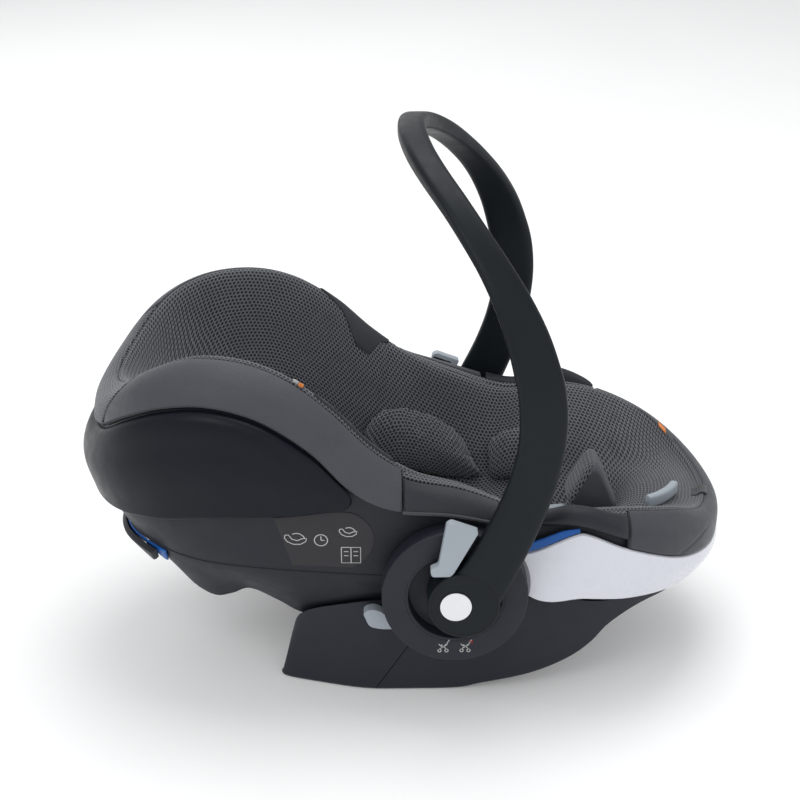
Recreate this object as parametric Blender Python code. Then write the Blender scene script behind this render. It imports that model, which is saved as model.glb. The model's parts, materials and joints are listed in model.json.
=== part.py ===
"""Infant car seat: rocker base, bucket shell, foam, sewn cover, harness and swinging carry handle.

World frame: +X towards the foot end, Y across the seat, +Z up, origin on the floor below the
middle of the whole seat.  Guide loops are written in millimetres, everything else in metres.
"""
import math

import bmesh
import bpy
import numpy as np
from mathutils.bvhtree import BVHTree
from mathutils import Matrix, Vector

MM = 0.001
GAP = 0.0003                      # clearance between touching pieces
COLUMNS = 60                      # points round every guide loop
HALF = COLUMNS // 2
LOOP_STEPS = 24                   # samples between two stations of a loop

# ---------------------------------------------------------------- driving dimensions
HUB_X, HUB_Z = 0.051, 0.140       # carry handle's pivot, on both sides
HUB_RADIUS = 0.0725
HUB_RECESS = 0.046
HUB_BACK, HUB_FACE = 0.1745, 0.197  # housing from its back to its outer face, as |y|
HUB_FLOOR = 0.181                 # floor of the housing's recess
PIVOT_RADIUS = 0.008

COVER = 0.006                     # sewn cover with its foam backing
LINER = 0.005                     # air-mesh liner
PANEL = 0.006                     # moulded head panel and foot trim
SHELL_OUT, SHELL_IN = -0.0098, -0.0128
FOAM_OUT = -0.0160

HANDLE_HALF_WIDTH = 0.207
HANDLE_ARCH_Z, HANDLE_ARCH_RISE = 0.360, 0.1990

# Stations of the guide loops, foot centre to head centre on the +Y side, (x, y, z) in mm.
LOWER_EDGE = [(335, 0, 117), (317, 78, 117), (280, 131, 114), (229, 162, 116), (180, 176, 123),
              (128, 181, 128), (60, 180, 195), (0, 180, 216), (-58, 180, 226), (-110, 178, 220),
              (-155, 173, 216), (-197, 163, 210), (-245, 141, 199), (-286, 106, 191),
              (-312, 58, 186), (-324, 0, 182)]
COVER_EDGE = [(338, 0, 135), (323, 86, 142), (284, 141, 153), (226, 173, 179), (176, 180, 202),
              (120, 176, 205), (50, 181, 222), (-12, 184, 230), (-52, 181, 250), (-90, 178, 289),
              (-138, 173, 320), (-188, 163, 331), (-236, 144, 322), (-276, 115, 300),
              (-307, 66, 270), (-321, 0, 257)]
CREST = [(323, 0, 166), (309, 68, 174), (275, 115, 196), (222, 146, 211), (166, 155, 214),
         (118, 144, 214), (60, 138, 236), (10, 150, 256), (-30, 152, 284), (-68, 147, 321),
         (-108, 138, 350), (-152, 127, 365), (-202, 114, 365), (-245, 100, 347),
         (-275, 63, 318), (-290, 0, 302)]
RIDGE = [(300, 0, 109), (287, 60, 110), (246, 112, 112), (200, 138, 113), (150, 152, 122),
         (100, 159, 130), (50, 160, 137), (0, 160, 143), (-60, 160, 147), (-124, 156, 150),
         (-171, 146, 150), (-204, 133, 149), (-236, 112, 149), (-262, 84, 149),
         (-282, 46, 146), (-290, 0, 143)]
BELLY = [(249, 0, 106), (238, 44, 103), (205, 82, 88), (165, 98, 70), (115, 106, 62),
         (60, 109, 60), (0, 109, 60), (-60, 108, 61), (-104, 107, 72), (-128, 106, 86),
         (-157, 103, 99), (-176, 99, 91), (-196, 93, 86), (-222, 76, 95),
         (-244, 42, 109), (-250, 0, 116)]

# Inner hollow of the seat: (head end x, foot end x, half width, height above the floor line).
INNER_WALL = (-0.250, 0.292, 0.114, 0.085)
FLOOR_EDGE = (-0.222, 0.258, 0.089, 0.026)
FLOOR_MIDDLE = (-0.190, 0.218, 0.055, 0.004)
FLOOR_LINE = [(-0.260, 0.268), (-0.220, 0.236), (-0.160, 0.190), (-0.090, 0.146), (-0.020, 0.114),
              (0.050, 0.098), (0.110, 0.098), (0.170, 0.110), (0.230, 0.128), (0.290, 0.146)]

# Rocker base: side profile of its bottom edge and of its upper edge.
BASE_BOTTOM = [(-0.134, 0.006), (-0.128, 0.0015), (-0.120, 0.0), (0.040, 0.0), (0.082, 0.006),
               (0.132, 0.017), (0.170, 0.033), (0.194, 0.050), (0.216, 0.073), (0.252, 0.091),
               (0.306, 0.0935)]
BASE_TOP = [(-0.104, 0.092), (-0.050, 0.105), (0.0, 0.112), (0.100, 0.112), (0.150, 0.110),
            (0.200, 0.102), (0.252, 0.1030), (0.306, 0.1115)]
REAR_BAY_DEPTH, REAR_BAY_HALF_WIDTH = 0.036, 0.115  # hollow in the middle of the rear foot
BASE_CLEARANCE = 0.0040           # gap between the base's upper edge and the shell
BASE_REAR, BASE_MIDDLE, BASE_FRONT, BASE_HALF_WIDTH = -0.134, 0.070, 0.302, 0.145
BASE_WALL = 0.003
MERGE = 0.0002
SEAM_FOOT, SEAM_TOP = (-0.029, 0.0), (0.004, 0.051)

# Levels of the guide loops in the seat surface, outside to inside.
LOWER, SIDE, EDGE, BULGE, TOP, ROLL, WALL, FLOOR, MIDDLE = range(9)

# ---------------------------------------------------------------- colours
PAINTS = {
    "dark_shell": ((0.024, 0.026, 0.033), 0.45, 0.0),
    "panel_black": ((0.021, 0.023, 0.029), 0.32, 0.0),
    "base_black": ((0.026, 0.028, 0.036), 0.45, 0.0),
    "handle_black": ((0.027, 0.030, 0.038), 0.42, 0.0),
    "mesh_fabric": ((0.060, 0.064, 0.078), 0.90, 0.0),
    "soft_grey": ((0.082, 0.088, 0.102), 0.70, 0.0),
    "foam_white": ((0.75, 0.75, 0.72), 0.80, 0.0),
    "trim_white": ((0.62, 0.63, 0.65), 0.35, 0.0),
    "button_grey": ((0.38, 0.41, 0.45), 0.45, 0.0),
    "guide_blue": ((0.010, 0.070, 0.270), 0.45, 0.0),
    "cap_white": ((0.70, 0.71, 0.73), 0.30, 0.0),
    "label_brown": ((0.055, 0.048, 0.050), 0.60, 0.0),
    "strap_black": ((0.015, 0.015, 0.017), 0.85, 0.0),
    "buckle_black": ((0.018, 0.018, 0.020), 0.40, 0.0),
    "button_red": ((0.55, 0.020, 0.015), 0.40, 0.0),
    "steel": ((0.50, 0.50, 0.52), 0.30, 1.0),
}


def clear_scene():
    for item in list(bpy.data.objects):
        bpy.data.objects.remove(item, do_unlink=True)


def paint(name):
    material = bpy.data.materials.get(name)
    if material is None:
        colour, roughness, metallic = PAINTS[name]
        material = bpy.data.materials.new(name)
        material.use_nodes = True
        shader = material.node_tree.nodes["Principled BSDF"]
        shader.inputs["Base Color"].default_value = (*colour, 1.0)
        shader.inputs["Roughness"].default_value = roughness
        shader.inputs["Metallic"].default_value = metallic
        material.diffuse_color = (*colour, 1.0)
    return material


def face_out(mesh):
    """Turn every face of a closed bmesh outwards."""
    bmesh.ops.recalc_face_normals(mesh, faces=mesh.faces)
    if mesh.calc_volume(signed=True) < 0:
        bmesh.ops.reverse_faces(mesh, faces=mesh.faces)


def finish_mesh(mesh, name, colour, sharp_degrees=35):
    """Turn a bmesh into a named, painted and shaded object."""
    bmesh.ops.remove_doubles(mesh, verts=mesh.verts, dist=1e-7)
    face_out(mesh)
    data = bpy.data.meshes.new(name)
    mesh.to_mesh(data)
    mesh.free()
    data.shade_smooth()
    data.set_sharp_from_angle(angle=math.radians(sharp_degrees))
    data.materials.append(paint(colour))
    piece = bpy.data.objects.new(name, data)
    bpy.context.scene.collection.objects.link(piece)
    return piece


def add_bevel(piece, width, segments=2, angle=30):
    bevel = piece.modifiers.new("edge_rounding", "BEVEL")
    bevel.width = width
    bevel.segments = segments
    bevel.limit_method = "ANGLE"
    bevel.angle_limit = math.radians(angle)
    return bevel


def combine(piece, tool, operation):
    """Boolean of piece with a hidden tool object."""
    tool.hide_render = True
    tool.display_type = "WIRE"
    boolean = piece.modifiers.new(operation.lower(), "BOOLEAN")
    boolean.operation = operation
    boolean.solver = "EXACT"
    boolean.object = tool
    return boolean


def move_origin(piece, point):
    """Put the piece's origin on a joint axis without moving its shape."""
    piece.data.transform(Matrix.Translation(-Vector(point)))
    piece.location = point


# ---------------------------------------------------------------- curves and loops
def catmull(points, steps):
    """Smooth curve through points (rows of an array), steps samples in each span."""
    points = np.asarray(points, float)
    padded = np.vstack([2 * points[0] - points[1], points, 2 * points[-1] - points[-2]])
    samples = []
    for i in range(1, len(padded) - 2):
        a, b, c, d = padded[i - 1:i + 3]
        for t in np.linspace(0, 1, steps, endpoint=False):
            samples.append(0.5 * (2 * b + (c - a) * t + (2 * a - 5 * b + 4 * c - d) * t ** 2
                                  + (3 * b - a - 3 * c + d) * t ** 3))
    samples.append(points[-1])
    return np.array(samples)


def spaced(curve, count):
    """Points at equal distances along a curve."""
    steps = np.linalg.norm(np.diff(curve, axis=0), axis=1)
    length = np.concatenate([[0], np.cumsum(steps)])
    wanted = np.linspace(0, length[-1], count)
    return np.column_stack([np.interp(wanted, length, curve[:, k]) for k in range(3)])


def profile(stations, x):
    """Height of a side profile at x, smooth between its stations."""
    curve = catmull(np.array(stations), 12)
    return np.interp(x, curve[:, 0], curve[:, 1])


def closed_loop(half_points):
    """Mirror half a loop, foot centre to head centre, into a closed one of COLUMNS points."""
    half = spaced(half_points, HALF + 1)
    half[0, 1] = 0.0
    half[-1, 1] = 0.0
    mirrored = half[1:-1][::-1] * np.array([1, -1, 1])
    return np.vstack([half, mirrored])


def guide_loop(stations):
    points = np.array(stations, float) * MM
    first = points[1] * np.array([1, -1, 1])
    last = points[-2] * np.array([1, -1, 1])
    curve = catmull(np.vstack([first, points, last]), LOOP_STEPS)
    return closed_loop(curve[LOOP_STEPS:-LOOP_STEPS])


def oval(head, foot, half_width, power=2.5):
    """Half of a rounded oblong in plan, from the foot end to the head end."""
    straight = 0.05
    middle = 0.5 * (head + foot)
    reach = 0.5 * (foot - head)
    angle = np.linspace(0, math.pi, 121)
    cosine, sine = np.cos(angle), np.sin(angle)
    x = middle + straight * cosine + (reach - straight) * np.sign(cosine) * abs(cosine) ** (2 / power)
    y = half_width * sine ** (2 / power)
    return x, y


def floor_loop(head, foot, half_width, rise):
    """Loop of the inner hollow that follows the floor line at a fixed height above it."""
    x, y = oval(head, foot, half_width)
    z = profile(FLOOR_LINE, x) + rise
    return closed_loop(np.column_stack([x, y, z]))


class Surface:
    """Smooth sheet through closed guide loops; level is a float index into the loops."""

    def __init__(self, loops):
        self.loops = [np.asarray(loop) for loop in loops]

    def ring(self, level):
        last = len(self.loops) - 1
        k = min(int(math.floor(level)), last - 1)
        t = level - k
        b, c = self.loops[k], self.loops[k + 1]
        a = self.loops[k - 1] if k > 0 else 2 * b - c
        d = self.loops[k + 2] if k + 2 <= last else 2 * c - b
        before, here, after = (np.sqrt(np.linalg.norm(high - low, axis=1))[:, None] + 1e-4
                               for low, high in ((a, b), (b, c), (c, d)))
        leave = (c - b) + here * ((b - a) / before - (c - a) / (before + here))
        arrive = (c - b) + here * ((d - c) / after - (d - b) / (here + after))
        return (b + leave * t + (3 * (c - b) - 2 * leave - arrive) * t ** 2
                + (2 * (b - c) + leave + arrive) * t ** 3)

    def offset(self, level, distance):
        """Ring moved out of the upholstery by distance, along the surface's normal."""
        step = 0.04
        last = len(self.loops) - 1
        along = self.ring(min(level + step, last)) - self.ring(max(level - step, 0))
        ring = self.ring(level)
        around = np.roll(ring, -1, axis=0) - np.roll(ring, 1, axis=0)
        normal = np.cross(around, along)
        normal /= np.linalg.norm(normal, axis=1)[:, None]
        return ring + normal * distance


def column(ring, place):
    """Point of a ring at a float column number, on the straight line between two columns."""
    low = int(math.floor(place))
    t = place - low
    size = len(ring)
    return ring[low % size] * (1 - t) + ring[(low + 1) % size] * t


def grid_faces(mesh, rows, closed):
    """Quads between neighbouring rows of vertices."""
    for low, high in zip(rows[:-1], rows[1:]):
        count = len(low)
        for i in range(count if closed else count - 1):
            j = (i + 1) % count
            mesh.faces.new((low[i], low[j], high[j], high[i]))


def add_rows(mesh, rings):
    return [[mesh.verts.new(Vector(point)) for point in ring] for ring in rings]


def patch_solid(name, colour, outer, inner):
    """Closed sheet of material between two grids of the same size, open at their ends."""
    mesh = bmesh.new()
    rows_out = add_rows(mesh, outer)
    rows_in = add_rows(mesh, inner)
    grid_faces(mesh, rows_out, False)
    grid_faces(mesh, rows_in, False)
    for a, b in ((0, 0), (-1, -1)):
        for i in range(len(rows_out[a]) - 1):
            mesh.faces.new((rows_out[a][i], rows_out[a][i + 1], rows_in[b][i + 1], rows_in[b][i]))
    for end in (0, -1):
        for low in range(len(rows_out) - 1):
            mesh.faces.new((rows_out[low][end], rows_out[low + 1][end],
                            rows_in[low + 1][end], rows_in[low][end]))
    return finish_mesh(mesh, name, colour)


def bowl_solid(name, colour, outer, inner):
    """Closed bowl between two stacks of rings; the last ring of each stack gets a floor."""
    mesh = bmesh.new()
    stacks = [add_rows(mesh, outer), add_rows(mesh, inner)]
    for rows in stacks:
        grid_faces(mesh, rows, True)
        bottom = rows[-1]
        mesh.faces.new((bottom[0], bottom[1], bottom[-1]))
        for i in range(1, HALF - 1):
            mesh.faces.new((bottom[i], bottom[i + 1], bottom[COLUMNS - i - 1], bottom[COLUMNS - i]))
        mesh.faces.new((bottom[HALF - 1], bottom[HALF], bottom[HALF + 1]))
    rim_out, rim_in = stacks[0][0], stacks[1][0]
    for i in range(COLUMNS):
        j = (i + 1) % COLUMNS
        mesh.faces.new((rim_out[i], rim_out[j], rim_in[j], rim_in[i]))
    return finish_mesh(mesh, name, colour)


def smooth_step(low, high, value):
    t = np.clip((value - low) / (high - low), 0, 1)
    return t * t * (3 - 2 * t)


def flat_direction(vectors):
    """Unit vectors in plan."""
    flat = vectors * np.array([1, 1, 0])
    return flat / np.maximum(np.linalg.norm(flat, axis=1), 1e-6)[:, None]


def seat_surface():
    """The upholstery's whole visible sheet: outside panel line, crest, inner wall and floor."""
    lower, edge, crest = guide_loop(LOWER_EDGE), guide_loop(COVER_EDGE), guide_loop(CREST)
    outward = flat_direction(edge - crest)
    side = 0.5 * (lower + edge)
    belly = (0.011 * smooth_step(-0.04, -0.12, side[:, 0])
             + 0.004 * smooth_step(0.14, 0.22, side[:, 0]))
    side += outward * belly[:, None]
    bulge = 0.5 * (edge + crest) + outward * 0.007
    bulge[:, 2] += 0.006
    wall, floor = floor_loop(*INNER_WALL), floor_loop(*FLOOR_EDGE)
    roll = crest * 0.80 + wall * 0.20
    # The wall's height is set between crest and floor, so that it is as steep everywhere.
    wall[:, 2] = 0.45 * crest[:, 2] + 0.55 * (floor[:, 2] + 0.004)
    roll[:, 2] = crest[:, 2] - 0.004
    return Surface([lower, side, edge, bulge, crest, roll, wall, floor,
                    floor_loop(*FLOOR_MIDDLE)])


def place_at_x(ring, x):
    """Float column on the +Y side where a ring passes x."""
    half = ring[:HALF + 1, 0]
    return float(np.interp(-x, -half, np.arange(HALF + 1)))


class Band:
    """Part of a surface between two places along it, for a list of levels.

    where is "side" (from x_start to x_end on one side), "foot" (round the foot end from
    x_start to x_start) or "head" (round the head end).  x_start and x_end take the level.
    """

    def __init__(self, surface, levels, where, x_start, x_end=None, side=1):
        self.surface, self.levels, self.side = surface, levels, side
        spans = []
        for level in levels:
            ring = surface.ring(level)
            first = place_at_x(ring, x_start(level))
            if where == "side":
                spans.append((first, place_at_x(ring, x_end(level))))
            elif where == "foot":
                spans.append((-first, first))
            else:
                spans.append((first, COLUMNS - first))
        low = max(span[0] for span in spans) + 0.25
        high = min(span[1] for span in spans) - 0.25
        inner = [float(k) for k in range(math.ceil(low), math.floor(high) + 1)]
        self.columns = [[span[0]] + inner + [span[1]] for span in spans]

    def points(self, height):
        """Rows of points at a height over the surface, a number or height(level, x)."""
        rows = []
        for level, places in zip(self.levels, self.columns):
            row = []
            base = self.surface.ring(level)
            for place in places:
                place = place if self.side > 0 else COLUMNS - place
                high = height(level, column(base, place)[0]) if callable(height) else height
                row.append(column(self.surface.offset(level, high), place))
            rows.append(row)
        return rows

    def solid(self, name, colour, outside, inside):
        return patch_solid(name, colour, self.points(outside), self.points(inside))


def steps(low, high, count):
    return [float(level) for level in np.linspace(low, high, count)]


def always(value):
    return lambda level: value


# ---------------------------------------------------------------- simple solids
def prism(name, colour, outline, y_low, y_high, bevel=0.0):
    """Side outline (x, z) with thickness along Y."""
    mesh = bmesh.new()
    bottom = [mesh.verts.new((x, y_low, z)) for x, z in outline]
    top = [mesh.verts.new((x, y_high, z)) for x, z in outline]
    mesh.faces.new(bottom)
    mesh.faces.new(top)
    for i in range(len(outline)):
        j = (i + 1) % len(outline)
        mesh.faces.new((bottom[i], bottom[j], top[j], top[i]))
    piece = finish_mesh(mesh, name, colour)
    if bevel:
        add_bevel(piece, bevel)
    return piece


def turned(name, colour, outline, centre, segments=40, sharp=35):
    """Solid turned about a Y axis through centre from a closed outline of (radius, y)."""
    mesh = bmesh.new()
    rings = []
    for radius, y in outline:
        if radius < 1e-6:
            rings.append([mesh.verts.new((centre[0], y, centre[1]))])
            continue
        angles = [math.tau * k / segments for k in range(segments)]
        rings.append([mesh.verts.new((centre[0] + radius * math.cos(a), y,
                                      centre[1] + radius * math.sin(a))) for a in angles])
    for low, high in zip(rings, rings[1:] + rings[:1]):
        if len(low) == 1 and len(high) == 1:
            continue
        for k in range(segments):
            j = (k + 1) % segments
            corners = [low[k % len(low)], low[j % len(low)], high[j % len(high)], high[k % len(high)]]
            mesh.faces.new(list(dict.fromkeys(corners)))
    return finish_mesh(mesh, name, colour, sharp)


def swept(name, colour, sections, sharp=35):
    """Closed solid through cross-sections that all have the same number of points."""
    mesh = bmesh.new()
    rows = add_rows(mesh, sections)
    grid_faces(mesh, rows, True)
    mesh.faces.new(rows[0])
    mesh.faces.new(rows[-1])
    return finish_mesh(mesh, name, colour, sharp)


def rounded_box(name, colour, centre, size, bevel, tilt=0.0):
    """Box with rounded edges, tilted about Y by tilt degrees."""
    mesh = bmesh.new()
    bmesh.ops.create_cube(mesh, size=1.0)
    bmesh.ops.scale(mesh, vec=size, verts=mesh.verts)
    piece = finish_mesh(mesh, name, colour)
    add_bevel(piece, bevel)
    piece.location = centre
    piece.rotation_euler = (0, math.radians(tilt), 0)
    return piece


def ribbon(name, colour, path, width, thickness):
    """Flat band along a path of (x, y, z), lying flat across Y."""
    path = np.array(path, float)
    along = np.gradient(path, axis=0)
    up = np.cross(along, np.array([0, 1, 0]))
    up *= np.sign(up[:, 2])[:, None]
    up /= np.linalg.norm(up, axis=1)[:, None]
    half = np.array([0, 0.5 * width, 0])
    sections = [[point - half, point + half, point + half + normal * thickness,
                 point - half + normal * thickness] for point, normal in zip(path, up)]
    return swept(name, colour, sections)


# ---------------------------------------------------------------- shell, foam and cover
def shell_surface(seat):
    """Outer skin of the shell from the belly up to the rim, under the cover and the panels."""
    return Surface([guide_loop(BELLY), guide_loop(RIDGE), seat.offset(LOWER, SHELL_OUT),
                    seat.offset(LOWER + 0.5, SHELL_OUT), seat.offset(SIDE + 0.6, SHELL_OUT),
                    seat.offset(EDGE + 0.5, SHELL_OUT), seat.offset(BULGE + 0.5, SHELL_OUT)])


def make_shell(shell):
    levels = [6.0, 5.0, 4.0, 3.0, 2.0, 1.5, 1.0, 0.82, 0.65, 0.3, 0.0]
    wall = SHELL_IN - SHELL_OUT
    bowl_solid("seat_shell", "dark_shell", [shell.ring(level) for level in levels],
               [shell.offset(level, wall) for level in levels])


def thinned(thickness, level):
    """Thickness of a sewn layer, which thins towards the crest."""
    return -thickness * (0.35 + 0.65 * float(smooth_step(0.0, 0.8, abs(level - TOP))))


INSIDE_LEVELS = (TOP + 0.4, ROLL, ROLL + 0.5, WALL, WALL + 0.5, FLOOR, FLOOR + 0.5, MIDDLE)


def make_foam(seat, shell):
    outer = [shell.offset(6.0, FOAM_OUT - SHELL_OUT), shell.offset(5.0, FOAM_OUT - SHELL_OUT),
             seat.offset(WALL - 0.4, -0.014), seat.offset(WALL, -0.014),
             seat.offset(FLOOR, -0.014), seat.offset(MIDDLE, -0.018)]
    inner = [seat.offset(level, thinned(LINER, level) - 0.0012) for level in INSIDE_LEVELS]
    inner[0] = seat.offset(TOP + 0.4, -0.0070)
    bowl_solid("foam_liner", "foam_white", outer, inner)


def make_liner(seat):
    levels = (TOP + 0.16,) + INSIDE_LEVELS
    bowl_solid("seat_liner", "mesh_fabric", [seat.ring(level) for level in levels],
               [seat.offset(level, thinned(LINER, level)) for level in levels])


def cover_back(level, _x):
    return thinned(COVER, level)


SEAM_X = 0.0                      # seam between the head strip and the side cover
FOOT_SEAM_X = 0.096               # hidden under the handle's arm
SEAM_GAP = 0.001
COVER_LEVELS = steps(EDGE + 0.02, TOP - 0.18, 6)
TOP_LEVELS = steps(BULGE + 0.60, TOP - 0.18, 3)


def strip_end(level):
    """Where the head strip tapers off towards the head end."""
    t = (level - EDGE) / (TOP - EDGE)
    return -0.302 + 0.052 * t ** 1.5


def make_cover(seat):
    for side, word in ((1, "left"), (-1, "right")):
        head = Band(seat, COVER_LEVELS, "side", always(SEAM_X - SEAM_GAP),
                    lambda level: strip_end(level) + SEAM_GAP, side)
        head.solid("rim_cover_" + word, "soft_grey", 0.0, cover_back)
        middle = Band(seat, COVER_LEVELS, "side", always(FOOT_SEAM_X - SEAM_GAP),
                      always(SEAM_X + SEAM_GAP), side)
        middle.solid("side_cover_" + word, "soft_grey", 0.0, cover_back)
        bridge = Band(seat, TOP_LEVELS, "side", always(HORN_END - SEAM_GAP),
                      always(FOOT_SEAM_X + SEAM_GAP), side)
        bridge.solid("rim_bridge_" + word, "soft_grey", 0.0, cover_back)
    Band(seat, COVER_LEVELS, "head", lambda level: strip_end(level) - SEAM_GAP).solid(
        "head_cover", "mesh_fabric", 0.0, cover_back)
    Band(seat, COVER_LEVELS, "foot", always(HORN_END + SEAM_GAP)).solid(
        "foot_cover", "soft_grey", 0.0, cover_back)


def make_head_panel(seat):
    levels = steps(LOWER + 0.02, EDGE - 0.02, 6)

    def end(level):
        return -0.050 - 0.010 * abs(level - 1.0) ** 2.5

    Band(seat, levels, "head", end).solid("head_panel", "panel_black", 0.0, -PANEL)


def trim_end(level):
    """Left edge of the foot trim, an arc round the hub housing."""
    z = 0.118 + 0.058 * level / EDGE
    return HUB_X + math.sqrt(max((HUB_RADIUS + 0.003) ** 2 - (z - HUB_Z) ** 2, 0))


TRIM_APEX_X = 0.177


def trim_drop(x):
    """How many levels the trim's upper edge drops between its apex and its rear end."""
    return 0.85 * float(np.clip((TRIM_APEX_X - x) / 0.058, 0, 1))


def dropped_points(seat, band, height, low, share):
    """Rows of a band whose upper levels drop with the trim's upper edge."""
    rows = []
    for row, level in enumerate(band.levels):
        line = []
        for place in band.columns[row]:
            place = place if band.side > 0 else COLUMNS - place
            x = column(seat.ring(level), place)[0]
            lowered = trim_drop(x) * share(level)
            line.append(column(seat.offset(max(level - lowered, low), height), place))
        rows.append(line)
    return rows


def make_foot_trim(seat):
    low = LOWER + 0.03
    band = Band(seat, steps(low, EDGE - 0.03, 6), "foot", trim_end)

    def share(level):
        return level / EDGE

    patch_solid("foot_trim", "trim_white", dropped_points(seat, band, 0.0, low, share),
                dropped_points(seat, band, -PANEL, low, share))


def make_lap_belt_channels(seat):
    for side, word in ((1, "left"), (-1, "right")):
        band = Band(seat, steps(EDGE + 0.06, EDGE + 0.28, 3), "side", always(0.174),
                    always(0.1215), side)
        patch_solid("lap_belt_channel_" + word, "guide_blue",
                    dropped_points(seat, band, -0.0005, LOWER, always(1.0)),
                    dropped_points(seat, band, -0.0035, LOWER, always(1.0)))


HORN_END = 0.224
HORN_START = 0.100
HORN_LEVELS = steps(EDGE + 0.40, BULGE + 0.56, 8)


def horn_height(level, x):
    """Height of the belt horn over the seat surface, with a bend near its rounded tip."""
    s = (level - HORN_LEVELS[0]) / (HORN_LEVELS[-1] - HORN_LEVELS[0])
    tip = math.sqrt(max(1 - max((x - 0.194) / 0.0285, 0) ** 2, 0))
    rise = float(smooth_step(0.130, 0.170, x)) - 0.25 * float(smooth_step(0.180, 0.210, x))
    return 0.0008 + (0.0050 + 0.0070 * rise) * tip * math.sqrt(max(1 - abs(2 * s - 1) ** 2.4, 0))


def make_belt_horns(seat):
    """Rounded horns that hold the lap belt down, one on each side of the foot end."""
    for side, word in ((1, "left"), (-1, "right")):
        band = Band(seat, HORN_LEVELS, "side", always(HORN_END - 0.002), always(HORN_START), side)
        band.solid("belt_horn_" + word, "dark_shell", horn_height, -0.0020)


SOFT_GAP = 0.0025                 # loose pads stay this far above the liner


def make_insert(seat):
    """Newborn insert: two bolsters on each side of the hip and thigh."""
    ranges = {"hip": (0.084, -0.045), "thigh": (0.136, 0.088)}
    for side, word in ((1, "left"), (-1, "right")):
        for part, (x_start, x_end) in ranges.items():
            levels = steps(ROLL + 0.60, FLOOR - 0.05, 7)
            band = Band(seat, levels, "side", always(x_start), always(x_end), side)

            def pillow(level, x, low=levels[0], high=levels[-1], a=x_start, b=x_end):
                s = (level - low) / (high - low)
                t = (a - x) / (a - b)
                fullness = max(1 - abs(2 * s - 1) ** 2.6, 0) * max(1 - abs(2 * t - 1) ** 3, 0)
                return -(0.0012 + 0.020 * math.sqrt(fullness))

            foot = band.points(SOFT_GAP)
            top = []
            for row, level in zip(foot, levels):
                line = []
                for point, place in zip(row, band.columns[levels.index(level)]):
                    place = place if side > 0 else COLUMNS - place
                    rise = -pillow(level, point[0])
                    line.append(column(seat.offset(level, SOFT_GAP + rise), place))
                top.append(line)
            patch_solid(part + "_bolster_" + word, "mesh_fabric", top, foot)


# ---------------------------------------------------------------- base
def base_plan(grow, drop):
    """Half plan of the base, foot end to head end: square at the rear, round at the front."""
    angle = np.linspace(0, math.pi, 161)
    cosine, sine = np.cos(angle), np.sin(angle)
    rear_reach = BASE_MIDDLE - BASE_REAR - 0.026 * drop + grow
    front_reach = BASE_FRONT - BASE_MIDDLE + grow
    half_width = BASE_HALF_WIDTH + 0.003 * drop + grow
    power = np.where(cosine > 0, 3.3, 14.0)
    reach = np.where(cosine > 0, front_reach, rear_reach)
    x = BASE_MIDDLE + reach * np.sign(cosine) * abs(cosine) ** (2 / power)
    taper = 1 - 0.16 * smooth_step(-0.02, BASE_REAR, x)
    y = half_width * taper * abs(sine) ** (2 / power)
    bay = 1 - np.minimum(y / REAR_BAY_HALF_WIDTH, 1) ** 2.5
    rear = smooth_step(0.80, 0.94, (BASE_MIDDLE - x) / rear_reach)
    return x + REAR_BAY_DEPTH * bay * rear, y


def underside(shell):
    """Height of the shell's skin over a place in plan, seen from below."""
    rings = [shell.ring(level) for level in steps(0.0, 4.0, 17)]
    corners = [tuple(point) for ring in rings for point in ring]
    quads = []
    for k in range(len(rings) - 1):
        for i in range(COLUMNS):
            j = (i + 1) % COLUMNS
            quads.append((k * COLUMNS + i, k * COLUMNS + j,
                          (k + 1) * COLUMNS + j, (k + 1) * COLUMNS + i))
    for i in range(HALF):
        quads.append((i, i + 1, COLUMNS - i - 1, (COLUMNS - i) % COLUMNS))
    tree = BVHTree.FromPolygons(corners, quads)

    def height(x, y):
        hit = tree.ray_cast(Vector((x, y, -1)), Vector((0, 0, 1)))[0]
        return hit.z if hit else 1.0
    return height


def base_ring(inset, drop):
    """Ring of the base wall; drop 1 is the upper edge and 0 the bottom edge."""
    x, y = base_plan(-inset, drop)
    ring = closed_loop(np.column_stack([x, y, 0 * x]))
    low = np.maximum(profile(BASE_BOTTOM, ring[:, 0]), 0) + inset
    high = np.maximum(profile(BASE_TOP, ring[:, 0]), low + 0.002)
    ring[:, 2] = low * (1 - drop) + high * drop
    return ring


def lowered_ring(inset, raise_by, shrink):
    """Ring of the rounded bottom corner."""
    x, y = base_plan(-inset - shrink, 0.0)
    ring = closed_loop(np.column_stack([x, y, 0 * x]))
    ring[:, 2] = np.maximum(profile(BASE_BOTTOM, ring[:, 0]), 0) + inset + raise_by
    return ring


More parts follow.
